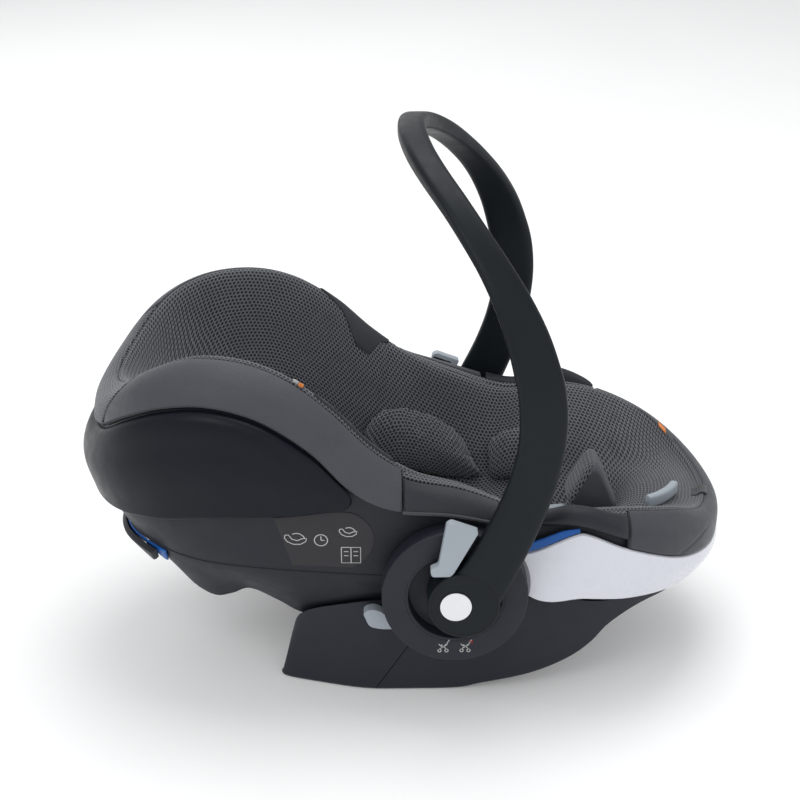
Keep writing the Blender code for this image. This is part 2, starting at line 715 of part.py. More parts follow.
def make_base(shell):
    roof = underside(shell)
    stacks = []
    for inset in (0.0, BASE_WALL):
        stacks.append([base_ring(inset, 1.0), base_ring(inset, 0.5),
                       lowered_ring(inset, 0.0045, 0.0), lowered_ring(inset, 0.0013, 0.0013),
                       lowered_ring(inset, 0.0, 0.0045), lowered_ring(inset, 0.0, 0.070)])
    edge, inner_edge = stacks[0][0], stacks[1][0]
    for point, partner in zip(edge, inner_edge):
        limit = min(roof(place[0] + step_x, place[1] + step_y) for place in (point, partner)
                    for step_x in (-0.004, 0.004) for step_y in (-0.004, 0.004)) - BASE_CLEARANCE
        point[2] = min(point[2], limit)
        partner[2] = point[2]
    outer, inner = stacks
    whole = bowl_solid("rocker_base", "base_black", outer, inner)
    rear = whole.copy()
    rear.data = whole.data.copy()
    rear.name = "rear_foot"
    bpy.context.scene.collection.objects.link(rear)
    seam = Vector((SEAM_TOP[0] - SEAM_FOOT[0], 0, SEAM_TOP[1] - SEAM_FOOT[1]))
    across = Vector((seam.z, 0, -seam.x)).normalized()
    point = Vector((SEAM_FOOT[0], 0, SEAM_FOOT[1]))
    for piece, direction in ((whole, 1), (rear, -1)):
        mesh = bmesh.new()
        mesh.from_mesh(piece.data)
        cut = bmesh.ops.bisect_plane(mesh, geom=mesh.verts[:] + mesh.edges[:] + mesh.faces[:],
                                     plane_co=point + across * GAP * direction,
                                     plane_no=-across * direction, clear_outer=True)
        rim = [item for item in cut["geom_cut"] if isinstance(item, bmesh.types.BMVert)]
        bmesh.ops.remove_doubles(mesh, verts=rim, dist=MERGE)
        edges = [edge for edge in mesh.edges if edge.is_boundary]
        bmesh.ops.edgeloop_fill(mesh, edges=edges)
        bmesh.ops.triangulate(mesh, faces=[face for face in mesh.faces if len(face.verts) > 4])
        bmesh.ops.dissolve_degenerate(mesh, dist=MERGE, edges=mesh.edges)
        face_out(mesh)
        mesh.to_mesh(piece.data)
        mesh.free()


# ---------------------------------------------------------------- handle and hubs
def handle_section(centre, width_way, thick_way, width, thickness):
    """Rounded flat cross-section of twelve points."""
    points = []
    for k in range(12):
        a = math.tau * (k + 0.5) / 12
        u = math.copysign(abs(math.cos(a)) ** 0.55, math.cos(a)) * 0.5 * width
        v = math.copysign(abs(math.sin(a)) ** 0.75, math.sin(a)) * 0.5 * thickness
        points.append(centre + width_way * u + thick_way * v)
    return points


HANDLE_SIDE = [(0.140, 0.062), (0.170, 0.0805), (0.200, 0.0955), (0.250, 0.1165), (0.300, 0.1295),
               (0.350, 0.1315), (0.400, 0.1205), (0.440, 0.1050), (0.480, 0.0815),
               (0.520, 0.0500), (0.545, 0.0250), (0.559, 0.0115)]
HANDLE_WIDTH = [(0.140, 0.060), (0.170, 0.052), (0.200, 0.049), (0.250, 0.046), (0.300, 0.045),
                (0.350, 0.046), (0.400, 0.043), (0.440, 0.037), (0.480, 0.030),
                (0.520, 0.027), (0.559, 0.028)]


def handle_path():
    """Centre line from the -Y hub over the grip to the +Y hub."""
    half = [(z, HANDLE_HALF_WIDTH) for z in (0.140, 0.170, 0.200, 0.240, 0.280, 0.320)]
    for degrees in range(0, 91, 9):
        a = math.radians(degrees)
        half.append((HANDLE_ARCH_Z + HANDLE_ARCH_RISE * math.sin(a), HANDLE_HALF_WIDTH * math.cos(a)))
    points = [Vector((profile(HANDLE_SIDE, z), -y, z)) for z, y in half]
    return points + [Vector((p.x, -p.y, p.z)) for p in reversed(points[:-1])]


def make_handle():
    path = handle_path()
    sections = []
    for i, point in enumerate(path):
        along = (path[min(i + 1, len(path) - 1)] - path[max(i - 1, 0)]).normalized()
        if point.z > HANDLE_ARCH_Z:
            out = Vector((0, point.y / HANDLE_HALF_WIDTH ** 2,
                          (point.z - HANDLE_ARCH_Z) / HANDLE_ARCH_RISE ** 2)).normalized()
        else:
            out = Vector((0, math.copysign(1, point.y), 0))
        width_way = out.cross(along).normalized()
        thick_way = along.cross(width_way).normalized()
        width = profile(HANDLE_WIDTH, point.z)
        grip = smooth_step(0.46, 0.56, point.z)
        sections.append(handle_section(point, width_way, thick_way, width, 0.0150 + 0.004 * grip))
    handle = swept("carry_handle", "handle_black", sections, 50)
    for side in (-1, 1):
        inner, outer = HUB_FLOOR + GAP, HANDLE_HALF_WIDTH + 0.0075
        boss = turned("boss_tool", "handle_black",
                      [(0, inner * side), (0.0355, inner * side), (0.0355, (outer - 0.002) * side),
                       (0.0335, outer * side), (0, outer * side)],
                      (HUB_X + 0.008, HUB_Z), 32)
        combine(handle, boss, "UNION")
        bore = turned("bore_tool", "handle_black",
                      [(0, (inner - 0.01) * side), (PIVOT_RADIUS + GAP, (inner - 0.01) * side),
                       (PIVOT_RADIUS + GAP, 0.2010 * side), (0, 0.2010 * side)],
                      (HUB_X, HUB_Z), 32)
        combine(handle, bore, "DIFFERENCE")
    move_origin(handle, (HUB_X, 0, HUB_Z))
    for side, word in ((1, "left"), (-1, "right")):
        make_hub(side, word)


WEDGE = [(0.041, 0.229), (0.046, 0.2315), (0.0725, 0.2215), (0.0485, 0.1760), (0.0450, 0.1725),
         (0.0270, 0.1725), (0.0255, 0.1810), (0.0335, 0.1840)]


WEDGE_CENTRE = (0.047, 0.2085, 0.200)
LEAF_CENTRE = (-0.024, 0.160, 0.098)


def make_hub(side, word):
    def s(y):
        return y * side
    face = HUB_FACE
    outline = [(PIVOT_RADIUS + GAP, s(HUB_BACK)), (HUB_RADIUS - 0.003, s(HUB_BACK)),
               (HUB_RADIUS, s(HUB_BACK + 0.003)), (HUB_RADIUS, s(face - 0.002)),
               (HUB_RADIUS - 0.002, s(face)), (HUB_RECESS + 0.001, s(face)),
               (HUB_RECESS, s(face - 0.001)), (HUB_RECESS, s(HUB_FLOOR)),
               (PIVOT_RADIUS + GAP, s(HUB_FLOOR))]
    turned("hub_housing_" + word, "base_black", outline, (HUB_X, HUB_Z), 48)
    turned("pivot_pin_" + word, "steel",
           [(0, s(HUB_BACK)), (PIVOT_RADIUS, s(HUB_BACK)), (PIVOT_RADIUS, s(0.2005)), (0, s(0.2005))],
           (HUB_X, HUB_Z), 24)
    skin_y = HANDLE_HALF_WIDTH + 0.0075 + GAP
    cap = turned("hub_cap_" + word, "cap_white",
                 [(0, s(skin_y)), (0.0155, s(skin_y)), (0.0150, s(skin_y + 0.0012)),
                  (0.0090, s(skin_y + 0.0021)), (0, s(skin_y + 0.0024))], (HUB_X, HUB_Z), 32)
    move_origin(cap, (HUB_X, 0, HUB_Z))
    low, high = sorted((s(0.2035), s(0.2135)))
    wedge = prism("release_wedge_" + word, "button_grey", WEDGE, low, high, 0.0015)
    move_origin(wedge, (WEDGE_CENTRE[0], s(WEDGE_CENTRE[1]), WEDGE_CENTRE[2]))
    leaf = [(-0.040, 0.104), (-0.036, 0.108), (-0.029, 0.109), (-0.021, 0.106), (-0.012, 0.096),
            (-0.008, 0.086), (-0.022, 0.086), (-0.034, 0.089)]
    low, high = sorted((s(0.1535), s(0.1665)))
    button = prism("stroller_button_" + word, "button_grey", leaf, low, high, 0.0015)
    move_origin(button, (LEAF_CENTRE[0], s(LEAF_CENTRE[1]), LEAF_CENTRE[2]))


# ---------------------------------------------------------------- head end and labels
def make_head_end(shell):
    """Shoulder-belt guide under the head end: a blue channel with a dark hook over it."""
    levels = (0.65, 0.82, 1.0)
    Band(shell, levels, "head", always(-0.240)).solid(
        "rear_belt_channel", "guide_blue", 0.0040, 0.0018)
    Band(shell, levels, "head", always(-0.248)).solid("rear_belt_hook", "dark_shell", 0.0120, 0.0058)


def make_labels(shell):
    levels = steps(1.12, 1.90, 4)
    for side, word in ((1, "left"), (-1, "right")):
        def start(level):
            rise = (level - levels[0]) / (levels[-1] - levels[0])
            return -0.052 + 0.024 * math.sin(math.pi * rise) ** 0.7

        def end(level):
            return -0.110 - 0.018 * (level - levels[0]) / (levels[-1] - levels[0])

        Band(shell, levels, "side", start, end, side).solid(
            "label_" + word, "label_brown", 0.0014, 0.0006)


# ---------------------------------------------------------------- harness
def floor_height(x):
    return float(profile(FLOOR_LINE, x)) + FLOOR_MIDDLE[3]


def floor_path(x_from, x_to, y_from, y_to, lift, count=10):
    path = []
    for k in range(count):
        t = k / (count - 1)
        x = x_from + (x_to - x_from) * t
        path.append((x, y_from + (y_to - y_from) * t, floor_height(x) + lift))
    return path


BUCKLE_X = 0.062
ADJUSTER_X = 0.170
CROTCH_PAD = [(0.1960, 0.1270), (0.2060, 0.1290), (0.2170, 0.1385), (0.2330, 0.1510),
              (0.2290, 0.1640), (0.2220, 0.1810), (0.2125, 0.2030), (0.2060, 0.2080),
              (0.1990, 0.2040), (0.1860, 0.1820), (0.1770, 0.1640), (0.1790, 0.1530),
              (0.1905, 0.1420)]


def make_harness():
    for side, word in ((1, "left"), (-1, "right")):
        ribbon("shoulder_belt_" + word, "strap_black",
               floor_path(-0.155, 0.020, 0.025 * side, 0.020 * side, 0.0030), 0.030, 0.0015)
        ribbon("shoulder_pad_" + word, "soft_grey",
               floor_path(-0.135, -0.040, 0.0250 * side, 0.0235 * side, 0.0058, 7), 0.040, 0.009)
        ribbon("buckle_tongue_" + word, "steel",
               floor_path(0.0215, 0.0385, 0.0145 * side, 0.0125 * side, 0.0016, 4), 0.020, 0.0020)
    height = floor_height(BUCKLE_X)
    ribbon("buckle_pad", "soft_grey", floor_path(0.034, 0.100, 0, 0, 0.0050, 6), 0.058, 0.004)
    prism("crotch_pad", "soft_grey", CROTCH_PAD, -0.026, 0.026, 0.005)
    rounded_box("buckle_body", "buckle_black", (BUCKLE_X + 0.006, 0, height + 0.0215),
                (0.052, 0.044, 0.016), 0.005)
    rounded_box("buckle_button", "button_red", (BUCKLE_X + 0.006, 0, height + 0.0320),
                (0.026, 0.030, 0.0030), 0.001)
    ribbon("crotch_strap", "strap_black", floor_path(0.103, 0.128, 0, 0, 0.0014, 4), 0.036, 0.0015)
    height = floor_height(ADJUSTER_X)
    ribbon("adjuster_strap", "strap_black", floor_path(0.131, 0.150, 0, 0, 0.0014, 4), 0.025, 0.0015)
    rounded_box("adjuster_body", "buckle_black", (ADJUSTER_X, 0, height + 0.0085),
                (0.034, 0.040, 0.009), 0.003, -6)
    rounded_box("adjuster_button", "button_grey", (ADJUSTER_X, 0, height + 0.0180),
                (0.018, 0.026, 0.005), 0.002, -6)


def make_release_lever(seat):
    """Lever at the foot end that frees the seat from its car base."""
    sections = []
    for k in range(11):
        a = math.radians(-63 + 39 * k / 10)
        centre = Vector((0.222 + 0.074 * math.cos(a), 0.074 * math.sin(a), 0.1765))
        out = Vector((math.cos(a), math.sin(a), 0))
        ring = []
        for j in range(8):
            b = math.tau * (j + 0.5) / 8
            ring.append(centre + out * 0.0045 * math.cos(b) + Vector((0, 0, 0.0070 * math.sin(b))))
        sections.append(ring)
    swept("release_lever", "button_grey", sections, 50)


LATCH_X = (-0.060, 0.150)


def make_latches():
    """Steel bars inside the base that a car base or pram frame locks on to."""
    for x, word in zip(LATCH_X, ("rear", "front")):
        low = float(profile(BASE_BOTTOM, x)) + 0.016
        turned("latch_bar_" + word, "steel",
               [(0, -0.1300), (0.005, -0.1300), (0.005, 0.1300), (0, 0.1300)], (x, low), 16)


def main():
    clear_scene()
    seat = seat_surface()
    shell = shell_surface(seat)
    make_shell(shell)
    make_foam(seat, shell)
    make_liner(seat)
    make_cover(seat)
    make_head_panel(seat)
    make_foot_trim(seat)
    make_lap_belt_channels(seat)
    make_belt_horns(seat)
    make_insert(seat)
    make_base(shell)
    make_handle()
    make_head_end(shell)
    make_labels(shell)
    make_harness()
    make_release_lever(seat)
    make_latches()


main()
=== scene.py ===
"""Looks of the infant car seat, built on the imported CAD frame."""
import math

import bmesh
import bpy
import numpy as np
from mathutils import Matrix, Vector
from mathutils.bvhtree import BVHTree
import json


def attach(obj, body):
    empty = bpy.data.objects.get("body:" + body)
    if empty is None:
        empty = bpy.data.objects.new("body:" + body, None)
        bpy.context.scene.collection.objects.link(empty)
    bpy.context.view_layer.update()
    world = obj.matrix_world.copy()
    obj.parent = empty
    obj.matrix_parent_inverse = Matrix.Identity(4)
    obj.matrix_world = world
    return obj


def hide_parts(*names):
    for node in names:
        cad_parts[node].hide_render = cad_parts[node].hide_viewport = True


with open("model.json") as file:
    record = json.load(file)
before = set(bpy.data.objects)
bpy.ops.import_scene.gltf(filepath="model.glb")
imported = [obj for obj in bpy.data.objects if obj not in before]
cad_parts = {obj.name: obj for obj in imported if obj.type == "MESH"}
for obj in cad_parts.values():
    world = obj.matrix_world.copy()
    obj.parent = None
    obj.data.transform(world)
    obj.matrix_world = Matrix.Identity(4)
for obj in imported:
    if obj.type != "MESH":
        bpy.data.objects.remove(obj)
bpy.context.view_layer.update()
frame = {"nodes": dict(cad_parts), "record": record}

MM = 0.001
COLUMNS = 300                     # points round every guide loop
HALF = COLUMNS // 2
HUB_X, HUB_Z, HUB_RADIUS, HUB_RECESS = 0.051, 0.140, 0.0725, 0.046
HUB_BACK, HUB_FACE, HUB_FLOOR = 0.1745, 0.197, 0.181
HANDLE_HALF_WIDTH, HANDLE_ARCH_Z, HANDLE_ARCH_RISE = 0.207, 0.360, 0.1990
SHELL_OUT = -0.0098
SIDES = ((1, "left"), (-1, "right"))

# ---------------------------------------------------------------- guide loops, as in the CAD

LOWER_EDGE = [(335, 0, 117), (317, 78, 117), (280, 131, 114), (229, 162, 116), (180, 176, 123),
              (128, 181, 128), (60, 180, 195), (0, 180, 216), (-58, 180, 226), (-110, 178, 220),
              (-155, 173, 216), (-197, 163, 210), (-245, 141, 199), (-286, 106, 191),
              (-312, 58, 186), (-324, 0, 182)]
COVER_EDGE = [(338, 0, 135), (323, 86, 142), (284, 141, 153), (226, 173, 179), (176, 180, 202),
              (120, 176, 205), (50, 181, 222), (-12, 184, 230), (-52, 181, 250), (-90, 178, 289),
              (-138, 173, 320), (-188, 163, 331), (-236, 144, 322), (-276, 115, 300),
              (-307, 66, 270), (-321, 0, 257)]
CREST = [(323, 0, 166), (309, 68, 174), (275, 115, 196), (222, 146, 211), (166, 155, 214),
         (118, 144, 214), (60, 138, 236), (10, 150, 256), (-30, 152, 284), (-68, 147, 321),
         (-108, 138, 350), (-152, 127, 365), (-202, 114, 365), (-245, 100, 347),
         (-275, 63, 318), (-290, 0, 302)]
RIDGE = [(300, 0, 109), (287, 60, 110), (246, 112, 112), (200, 138, 113), (150, 152, 122),
         (100, 159, 130), (50, 160, 137), (0, 160, 143), (-60, 160, 147), (-124, 156, 150),
         (-171, 146, 150), (-204, 133, 149), (-236, 112, 149), (-262, 84, 149),
         (-282, 46, 146), (-290, 0, 143)]
BELLY = [(249, 0, 106), (238, 44, 103), (205, 82, 88), (165, 98, 70), (115, 106, 62),
         (60, 109, 60), (0, 109, 60), (-60, 108, 61), (-104, 107, 72), (-128, 106, 86),
         (-157, 103, 99), (-176, 99, 91), (-196, 93, 86), (-222, 76, 95),
         (-244, 42, 109), (-250, 0, 116)]

# Inner hollow of the seat: (head end x, foot end x, half width, height above the floor line).
INNER_WALL = (-0.250, 0.292, 0.114, 0.085)
FLOOR_EDGE = (-0.222, 0.258, 0.089, 0.026)
FLOOR_MIDDLE = (-0.190, 0.218, 0.055, 0.004)
FLOOR_LINE = [(-0.260, 0.268), (-0.220, 0.236), (-0.160, 0.190), (-0.090, 0.146), (-0.020, 0.114),
              (0.050, 0.098), (0.110, 0.098), (0.170, 0.110), (0.230, 0.128), (0.290, 0.146)]

# Rocker base: side profile of its bottom edge and of its upper edge.
BASE_BOTTOM = [(-0.134, 0.006), (-0.128, 0.0015), (-0.120, 0.0), (0.040, 0.0), (0.082, 0.006),
               (0.132, 0.017), (0.170, 0.033), (0.194, 0.050), (0.216, 0.073), (0.252, 0.091),
               (0.306, 0.0935)]
BASE_TOP = [(-0.104, 0.092), (-0.050, 0.105), (0.0, 0.112), (0.100, 0.112), (0.150, 0.110),
            (0.200, 0.102), (0.252, 0.1030), (0.306, 0.1115)]
REAR_BAY_DEPTH, REAR_BAY_HALF_WIDTH = 0.036, 0.115  # hollow in the middle of the rear foot
BASE_REAR, BASE_MIDDLE, BASE_FRONT, BASE_HALF_WIDTH = -0.134, 0.070, 0.302, 0.145

# Levels of the guide loops in the seat surface, outside to inside.
LOWER, SIDE, EDGE, BULGE, TOP, ROLL, WALL, FLOOR, MIDDLE = range(9)


# ---------------------------------------------------------------- curves and surfaces
def catmull(points, steps):
    points = np.asarray(points, float)
    padded = np.vstack([2 * points[0] - points[1], points, 2 * points[-1] - points[-2]])
    samples = []
    for i in range(1, len(padded) - 2):
        a, b, c, d = padded[i - 1:i + 3]
        for t in np.linspace(0, 1, steps, endpoint=False):
            samples.append(0.5 * (2 * b + (c - a) * t + (2 * a - 5 * b + 4 * c - d) * t ** 2
                                  + (3 * b - a - 3 * c + d) * t ** 3))
    samples.append(points[-1])
    return np.array(samples)


def spaced(curve, count):
    steps = np.linalg.norm(np.diff(curve, axis=0), axis=1)
    length = np.concatenate([[0], np.cumsum(steps)])
    wanted = np.linspace(0, length[-1], count)
    return np.column_stack([np.interp(wanted, length, curve[:, k]) for k in range(3)])


def profile(stations, x):
    curve = catmull(np.array(stations), 12)
    return np.interp(x, curve[:, 0], curve[:, 1])


def closed_loop(half_points):
    half = spaced(half_points, HALF + 1)
    half[0, 1] = 0.0
    half[-1, 1] = 0.0
    return np.vstack([half, half[1:-1][::-1] * np.array([1, -1, 1])])


def guide_loop(stations):
    points = np.array(stations, float) * MM
    first = points[1] * np.array([1, -1, 1])
    last = points[-2] * np.array([1, -1, 1])
    curve = catmull(np.vstack([first, points, last]), 24)
    return closed_loop(curve[24:-24])


def floor_loop(head, foot, half_width, rise, power=2.5, straight=0.05):
    middle = 0.5 * (head + foot)
    reach = 0.5 * (foot - head)
    angle = np.linspace(0, math.pi, 361)
    cosine, sine = np.cos(angle), np.sin(angle)
    x = middle + straight * cosine + (reach - straight) * np.sign(cosine) * abs(cosine) ** (2 / power)
    y = half_width * sine ** (2 / power)
    return closed_loop(np.column_stack([x, y, profile(FLOOR_LINE, x) + rise]))


def smooth_step(low, high, value):
    t = np.clip((value - low) / (high - low), 0, 1)
    return t * t * (3 - 2 * t)


def unit(vectors):
    return vectors / np.maximum(np.linalg.norm(vectors, axis=-1), 1e-9)[..., None]


class Surface:
    """Smooth sheet through closed guide loops; level is a float index into the loops."""

    def __init__(self, loops):
        self.loops = [np.asarray(loop) for loop in loops]
        self.last = len(loops) - 1
        self.kept = {}

    def ring(self, level):
        k = min(int(math.floor(level)), self.last - 1)
        t = level - k
        b, c = self.loops[k], self.loops[k + 1]
        a = self.loops[k - 1] if k > 0 else 2 * b - c
        d = self.loops[k + 2] if k + 2 <= self.last else 2 * c - b
        before, here, after = (np.sqrt(np.linalg.norm(high - low, axis=1))[:, None] + 1e-4
                               for low, high in ((a, b), (b, c), (c, d)))
        leave = (c - b) + here * ((b - a) / before - (c - a) / (before + here))
        arrive = (c - b) + here * ((d - c) / after - (d - b) / (here + after))
        return (b + leave * t + (3 * (c - b) - 2 * leave - arrive) * t ** 2
                + (2 * (b - c) + leave + arrive) * t ** 3)

    def frame(self, level):
        """A ring and its outward normals."""
        key = round(level, 5)
        if key not in self.kept:
            ring = self.ring(level)
            along = (self.ring(min(level + 0.04, self.last)) - self.ring(max(level - 0.04, 0)))
            around = np.roll(ring, -1, axis=0) - np.roll(ring, 1, axis=0)
            normal = unit(np.cross(around, along))
            for _ in range(3):
                normal = unit(np.roll(normal, 1, axis=0) + 2 * normal + np.roll(normal, -1, axis=0))
            self.kept[key] = ring, normal
        return self.kept[key]

    def offset(self, level, distance):
        ring, normal = self.frame(level)
        return ring + normal * distance

    def at(self, level, columns):
        """Points and normals at float columns of a ring."""
        ring, normal = self.frame(level)
        columns = np.asarray(columns, float) % COLUMNS
        low = np.floor(columns).astype(int)
        t = (columns - low)[:, None]
        high = (low + 1) % COLUMNS
        low = low % COLUMNS
        return (ring[low] * (1 - t) + ring[high] * t, unit(normal[low] * (1 - t) + normal[high] * t))


def seat_surface():
    lower, edge, crest = guide_loop(LOWER_EDGE), guide_loop(COVER_EDGE), guide_loop(CREST)
    outward = unit((edge - crest) * np.array([1, 1, 0]))
    side = 0.5 * (lower + edge)
    belly = (0.011 * smooth_step(-0.04, -0.12, side[:, 0])
             + 0.004 * smooth_step(0.14, 0.22, side[:, 0]))
    side += outward * belly[:, None]
    bulge = 0.5 * (edge + crest) + outward * 0.007
    bulge[:, 2] += 0.006
    wall, floor = floor_loop(*INNER_WALL), floor_loop(*FLOOR_EDGE)
    roll = crest * 0.80 + wall * 0.20
    wall[:, 2] = 0.45 * crest[:, 2] + 0.55 * (floor[:, 2] + 0.004)
    roll[:, 2] = crest[:, 2] - 0.004
    return Surface([lower, side, edge, bulge, crest, roll, wall, floor, floor_loop(*FLOOR_MIDDLE)])


seat = seat_surface()
shell = Surface([guide_loop(BELLY), guide_loop(RIDGE), seat.offset(LOWER, SHELL_OUT),
                 seat.offset(LOWER + 0.5, SHELL_OUT), seat.offset(SIDE + 0.6, SHELL_OUT),
                 seat.offset(EDGE + 0.5, SHELL_OUT), seat.offset(BULGE + 0.5, SHELL_OUT)])


def place_at_x(ring, x):
    """Float column on the +Y side where a ring passes x."""
    return float(np.interp(-x, -ring[:HALF + 1, 0], np.arange(HALF + 1)))


def always(value):
    return lambda level: value


# ---------------------------------------------------------------- mesh making
def new_object(name, mesh_data, material, body="seat", sharp=40):
    mesh = bpy.data.meshes.new(name)
    mesh_data.normal_update()
    mesh_data.to_mesh(mesh)
    mesh_data.free()
    piece = bpy.data.objects.new(name, mesh)
    bpy.context.scene.collection.objects.link(piece)
    mesh.materials.append(material)
    for polygon in mesh.polygons:
        polygon.use_smooth = True
    mesh.set_sharp_from_angle(angle=math.radians(sharp))
    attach(piece, body)
    return piece


def rows_mesh(rows, closed_rows=False, caps=(False, False), weave=None):
    """Grid of quads through rows of points; weave is an equal grid of pattern coordinates."""
    mesh = bmesh.new()
    layer = mesh.verts.layers.float_vector.new("weave") if weave is not None else None
    verts = []
    for i, row in enumerate(rows):
        line = [mesh.verts.new(point) for point in row]
        if layer is not None:
            for vert, value in zip(line, weave[i]):
                vert[layer] = (value[0], value[1], 0)
        verts.append(line)
    for low, high in zip(verts[:-1], verts[1:]):
        count = len(low)
        for i in range(count if closed_rows else count - 1):
            j = (i + 1) % count
            mesh.faces.new((low[i], low[j], high[j], high[i]))
    for line, wanted in zip((verts[0], verts[-1]), caps):
        if wanted:
            mesh.faces.new(line)
    bmesh.ops.recalc_face_normals(mesh, faces=mesh.faces)
    return mesh


def arc_lengths(points, axis):
    steps = np.linalg.norm(np.diff(points, axis=axis), axis=-1)
    zero = np.zeros_like(np.take(steps, [0], axis=axis))
    return np.concatenate([zero, np.cumsum(steps, axis=axis)], axis=axis)


FOOT_SMOOTHING = 4                # passes that even out the points round the foot end


def patch_grid(surface, low, high, start, end, side=1, where="side", across=24, along=120,
               drop=None):
    """Points, normals and distances from the four edges, for a part of a surface."""
    points, normals = [], []
    for level in np.linspace(low, high, across):
        ring = surface.ring(level)
        first = place_at_x(ring, start(level))
        if where == "foot":
            columns = np.linspace(-first, first, along)
        elif where == "head":
            columns = np.linspace(first, COLUMNS - first, along)
        else:
            columns = np.linspace(first, place_at_x(ring, end(level)), along)
        if side < 0:
            columns = COLUMNS - columns
        if drop is None:
            point, normal = surface.at(level, columns)
        else:
            x = surface.at(level, columns)[0][:, 0]
            pairs = [surface.at(drop(level, value), [place]) for value, place in zip(x, columns)]
            point = np.array([pair[0][0] for pair in pairs])
            normal = np.array([pair[1][0] for pair in pairs])
        points.append(point)
        normals.append(normal)
    points, normals = np.array(points), np.array(normals)
    if where == "foot":
        for _ in range(FOOT_SMOOTHING):
            for field in (points, normals):
                middle = 0.25 * field[:, :-2] + 0.5 * field[:, 1:-1] + 0.25 * field[:, 2:]
                field[:, 1:-1] = middle
        normals = unit(normals)
    u, v = arc_lengths(points, 1), arc_lengths(points, 0)
    ends = np.minimum(u, u[:, -1:] - u)
    rims = np.minimum(v, v[-1:, :] - v)
    return points, normals, u, v, ends, rims


def rounded(distance, radius):
    """How far a rounded edge has fallen at a distance from it."""
    t = np.clip(distance / radius, 0, 1)
    return radius * (1 - np.sqrt(np.clip(1 - (1 - t) ** 2, 0, 1)))


def patch(name, material, surface, low, high, start, end=None, side=1, where="side", across=24,
          along=120, radius=0.003, thickness=0.005, height=None, drop=None, body="seat",
          round_ends=True, weave_shift=0.0):
    """Thick rounded patch of a surface; height(points, u, v, ends, rims) shapes its outside."""
    points, normals, u, v, ends, rims = patch_grid(surface, low, high, start, end, side, where,
                                                   across, along, drop)
    fall = rounded(rims, radius)
    if round_ends:
        fall = np.minimum(np.maximum(fall, rounded(ends, radius)), radius)
    rise = -fall
    if height is not None:
        rise = rise + height(points, u, v, ends, rims)
    top = points + normals * rise[..., None]
    base = points - normals * thickness
    rows = [base[0]] + list(top) + [base[-1]]
    middle = 0.5 * u[:, -1:]
    pattern = np.stack([u - middle + weave_shift, v], axis=-1)
    pattern = np.concatenate([pattern[:1], pattern, pattern[-1:]])
    mesh = rows_mesh(rows, weave=pattern)
    mesh.verts.ensure_lookup_table()
    count = along
    total = across + 2
    for column_index in (0, count - 1):
        line = [mesh.verts[k * count + column_index] for k in range(total)]
        try:
            mesh.faces.new(line)
        except ValueError:
            pass
    low_row = [mesh.verts[i] for i in range(count)]
    high_row = [mesh.verts[(total - 1) * count + i] for i in range(count)]
    for i in range(count - 1):
        mesh.faces.new((low_row[i + 1], low_row[i], high_row[i], high_row[i + 1]))
    bmesh.ops.recalc_face_normals(mesh, faces=mesh.faces)
    return new_object(name, mesh, material, body)


def tube(name, path, radius, material, closed=False, sides=10, body="seat",
         flat=1.0, out=None):
    """Round or flattened cord along a path; out gives the direction it's flattened in."""
    path = np.asarray(path, float)
    if closed:
        along = np.roll(path, -1, axis=0) - np.roll(path, 1, axis=0)
    else:
        along = np.gradient(path, axis=0)
    along = unit(along)
    reference = np.tile([0.0, 0.0, 1.0], (len(path), 1)) if out is None else np.asarray(out, float)
    one = unit(np.cross(along, reference))
    two = unit(np.cross(one, along))
    rings = []
    for k in range(sides):
        a = math.tau * k / sides
        rings.append(path + one * radius * math.cos(a) + two * radius * flat * math.sin(a))
    rows = np.stack(rings, axis=1)
    rows = list(rows) + ([rows[0]] if closed else [])
    length = np.concatenate([[0], np.cumsum(np.linalg.norm(np.diff(path, axis=0), axis=1))])
    weave = [[(value, radius * math.tau * k / sides) for k in range(sides)]
             for value in list(length) + ([length[-1]] if closed else [])]
    mesh = rows_mesh(rows, True, (not closed, not closed), weave)
    if closed:
        bmesh.ops.remove_doubles(mesh, verts=mesh.verts, dist=1e-6)
    return new_object(name, mesh, material, body)


def turned(name, outline, centre, material, body="seat", segments=128, sharp=30):
    """Solid turned about a Y axis through centre (x, z) from (radius, y) points."""
    mesh = bmesh.new()
    rings = []
    for radius, y in outline:
        if radius < 1e-6:
            rings.append([mesh.verts.new((centre[0], y, centre[1]))])
            continue
        angles = np.arange(segments) * math.tau / segments
        rings.append([mesh.verts.new((centre[0] + radius * math.cos(a), y,
                                      centre[1] + radius * math.sin(a))) for a in angles])
    for low, high in zip(rings, rings[1:] + rings[:1]):
        if len(low) == 1 and len(high) == 1:
            continue
        for k in range(segments):
            j = (k + 1) % segments
            corners = [low[k % len(low)], low[j % len(low)], high[j % len(high)], high[k % len(high)]]
            mesh.faces.new(list(dict.fromkeys(corners)))
    bmesh.ops.recalc_face_normals(mesh, faces=mesh.faces)
    return new_object(name, mesh, material, body, sharp)


def softened(points, radius, steps=4):
    """Outline of (radius, y) points with its corners rounded."""
    result = []
    count = len(points)
    for i in range(count):
        before, here, after = (np.array(points[k % count], float) for k in (i - 1, i, i + 1))
        if here[0] < 1e-6:
            result.append(tuple(here))
            continue
        to_before, to_after = before - here, after - here
        reach = min(radius, 0.45 * np.linalg.norm(to_before), 0.45 * np.linalg.norm(to_after))
        start = here + unit(to_before) * reach
        stop = here + unit(to_after) * reach
        for t in np.linspace(0, 1, steps):
            result.append(tuple(start * (1 - t) ** 2 + 2 * here * t * (1 - t) + stop * t ** 2))
    return result


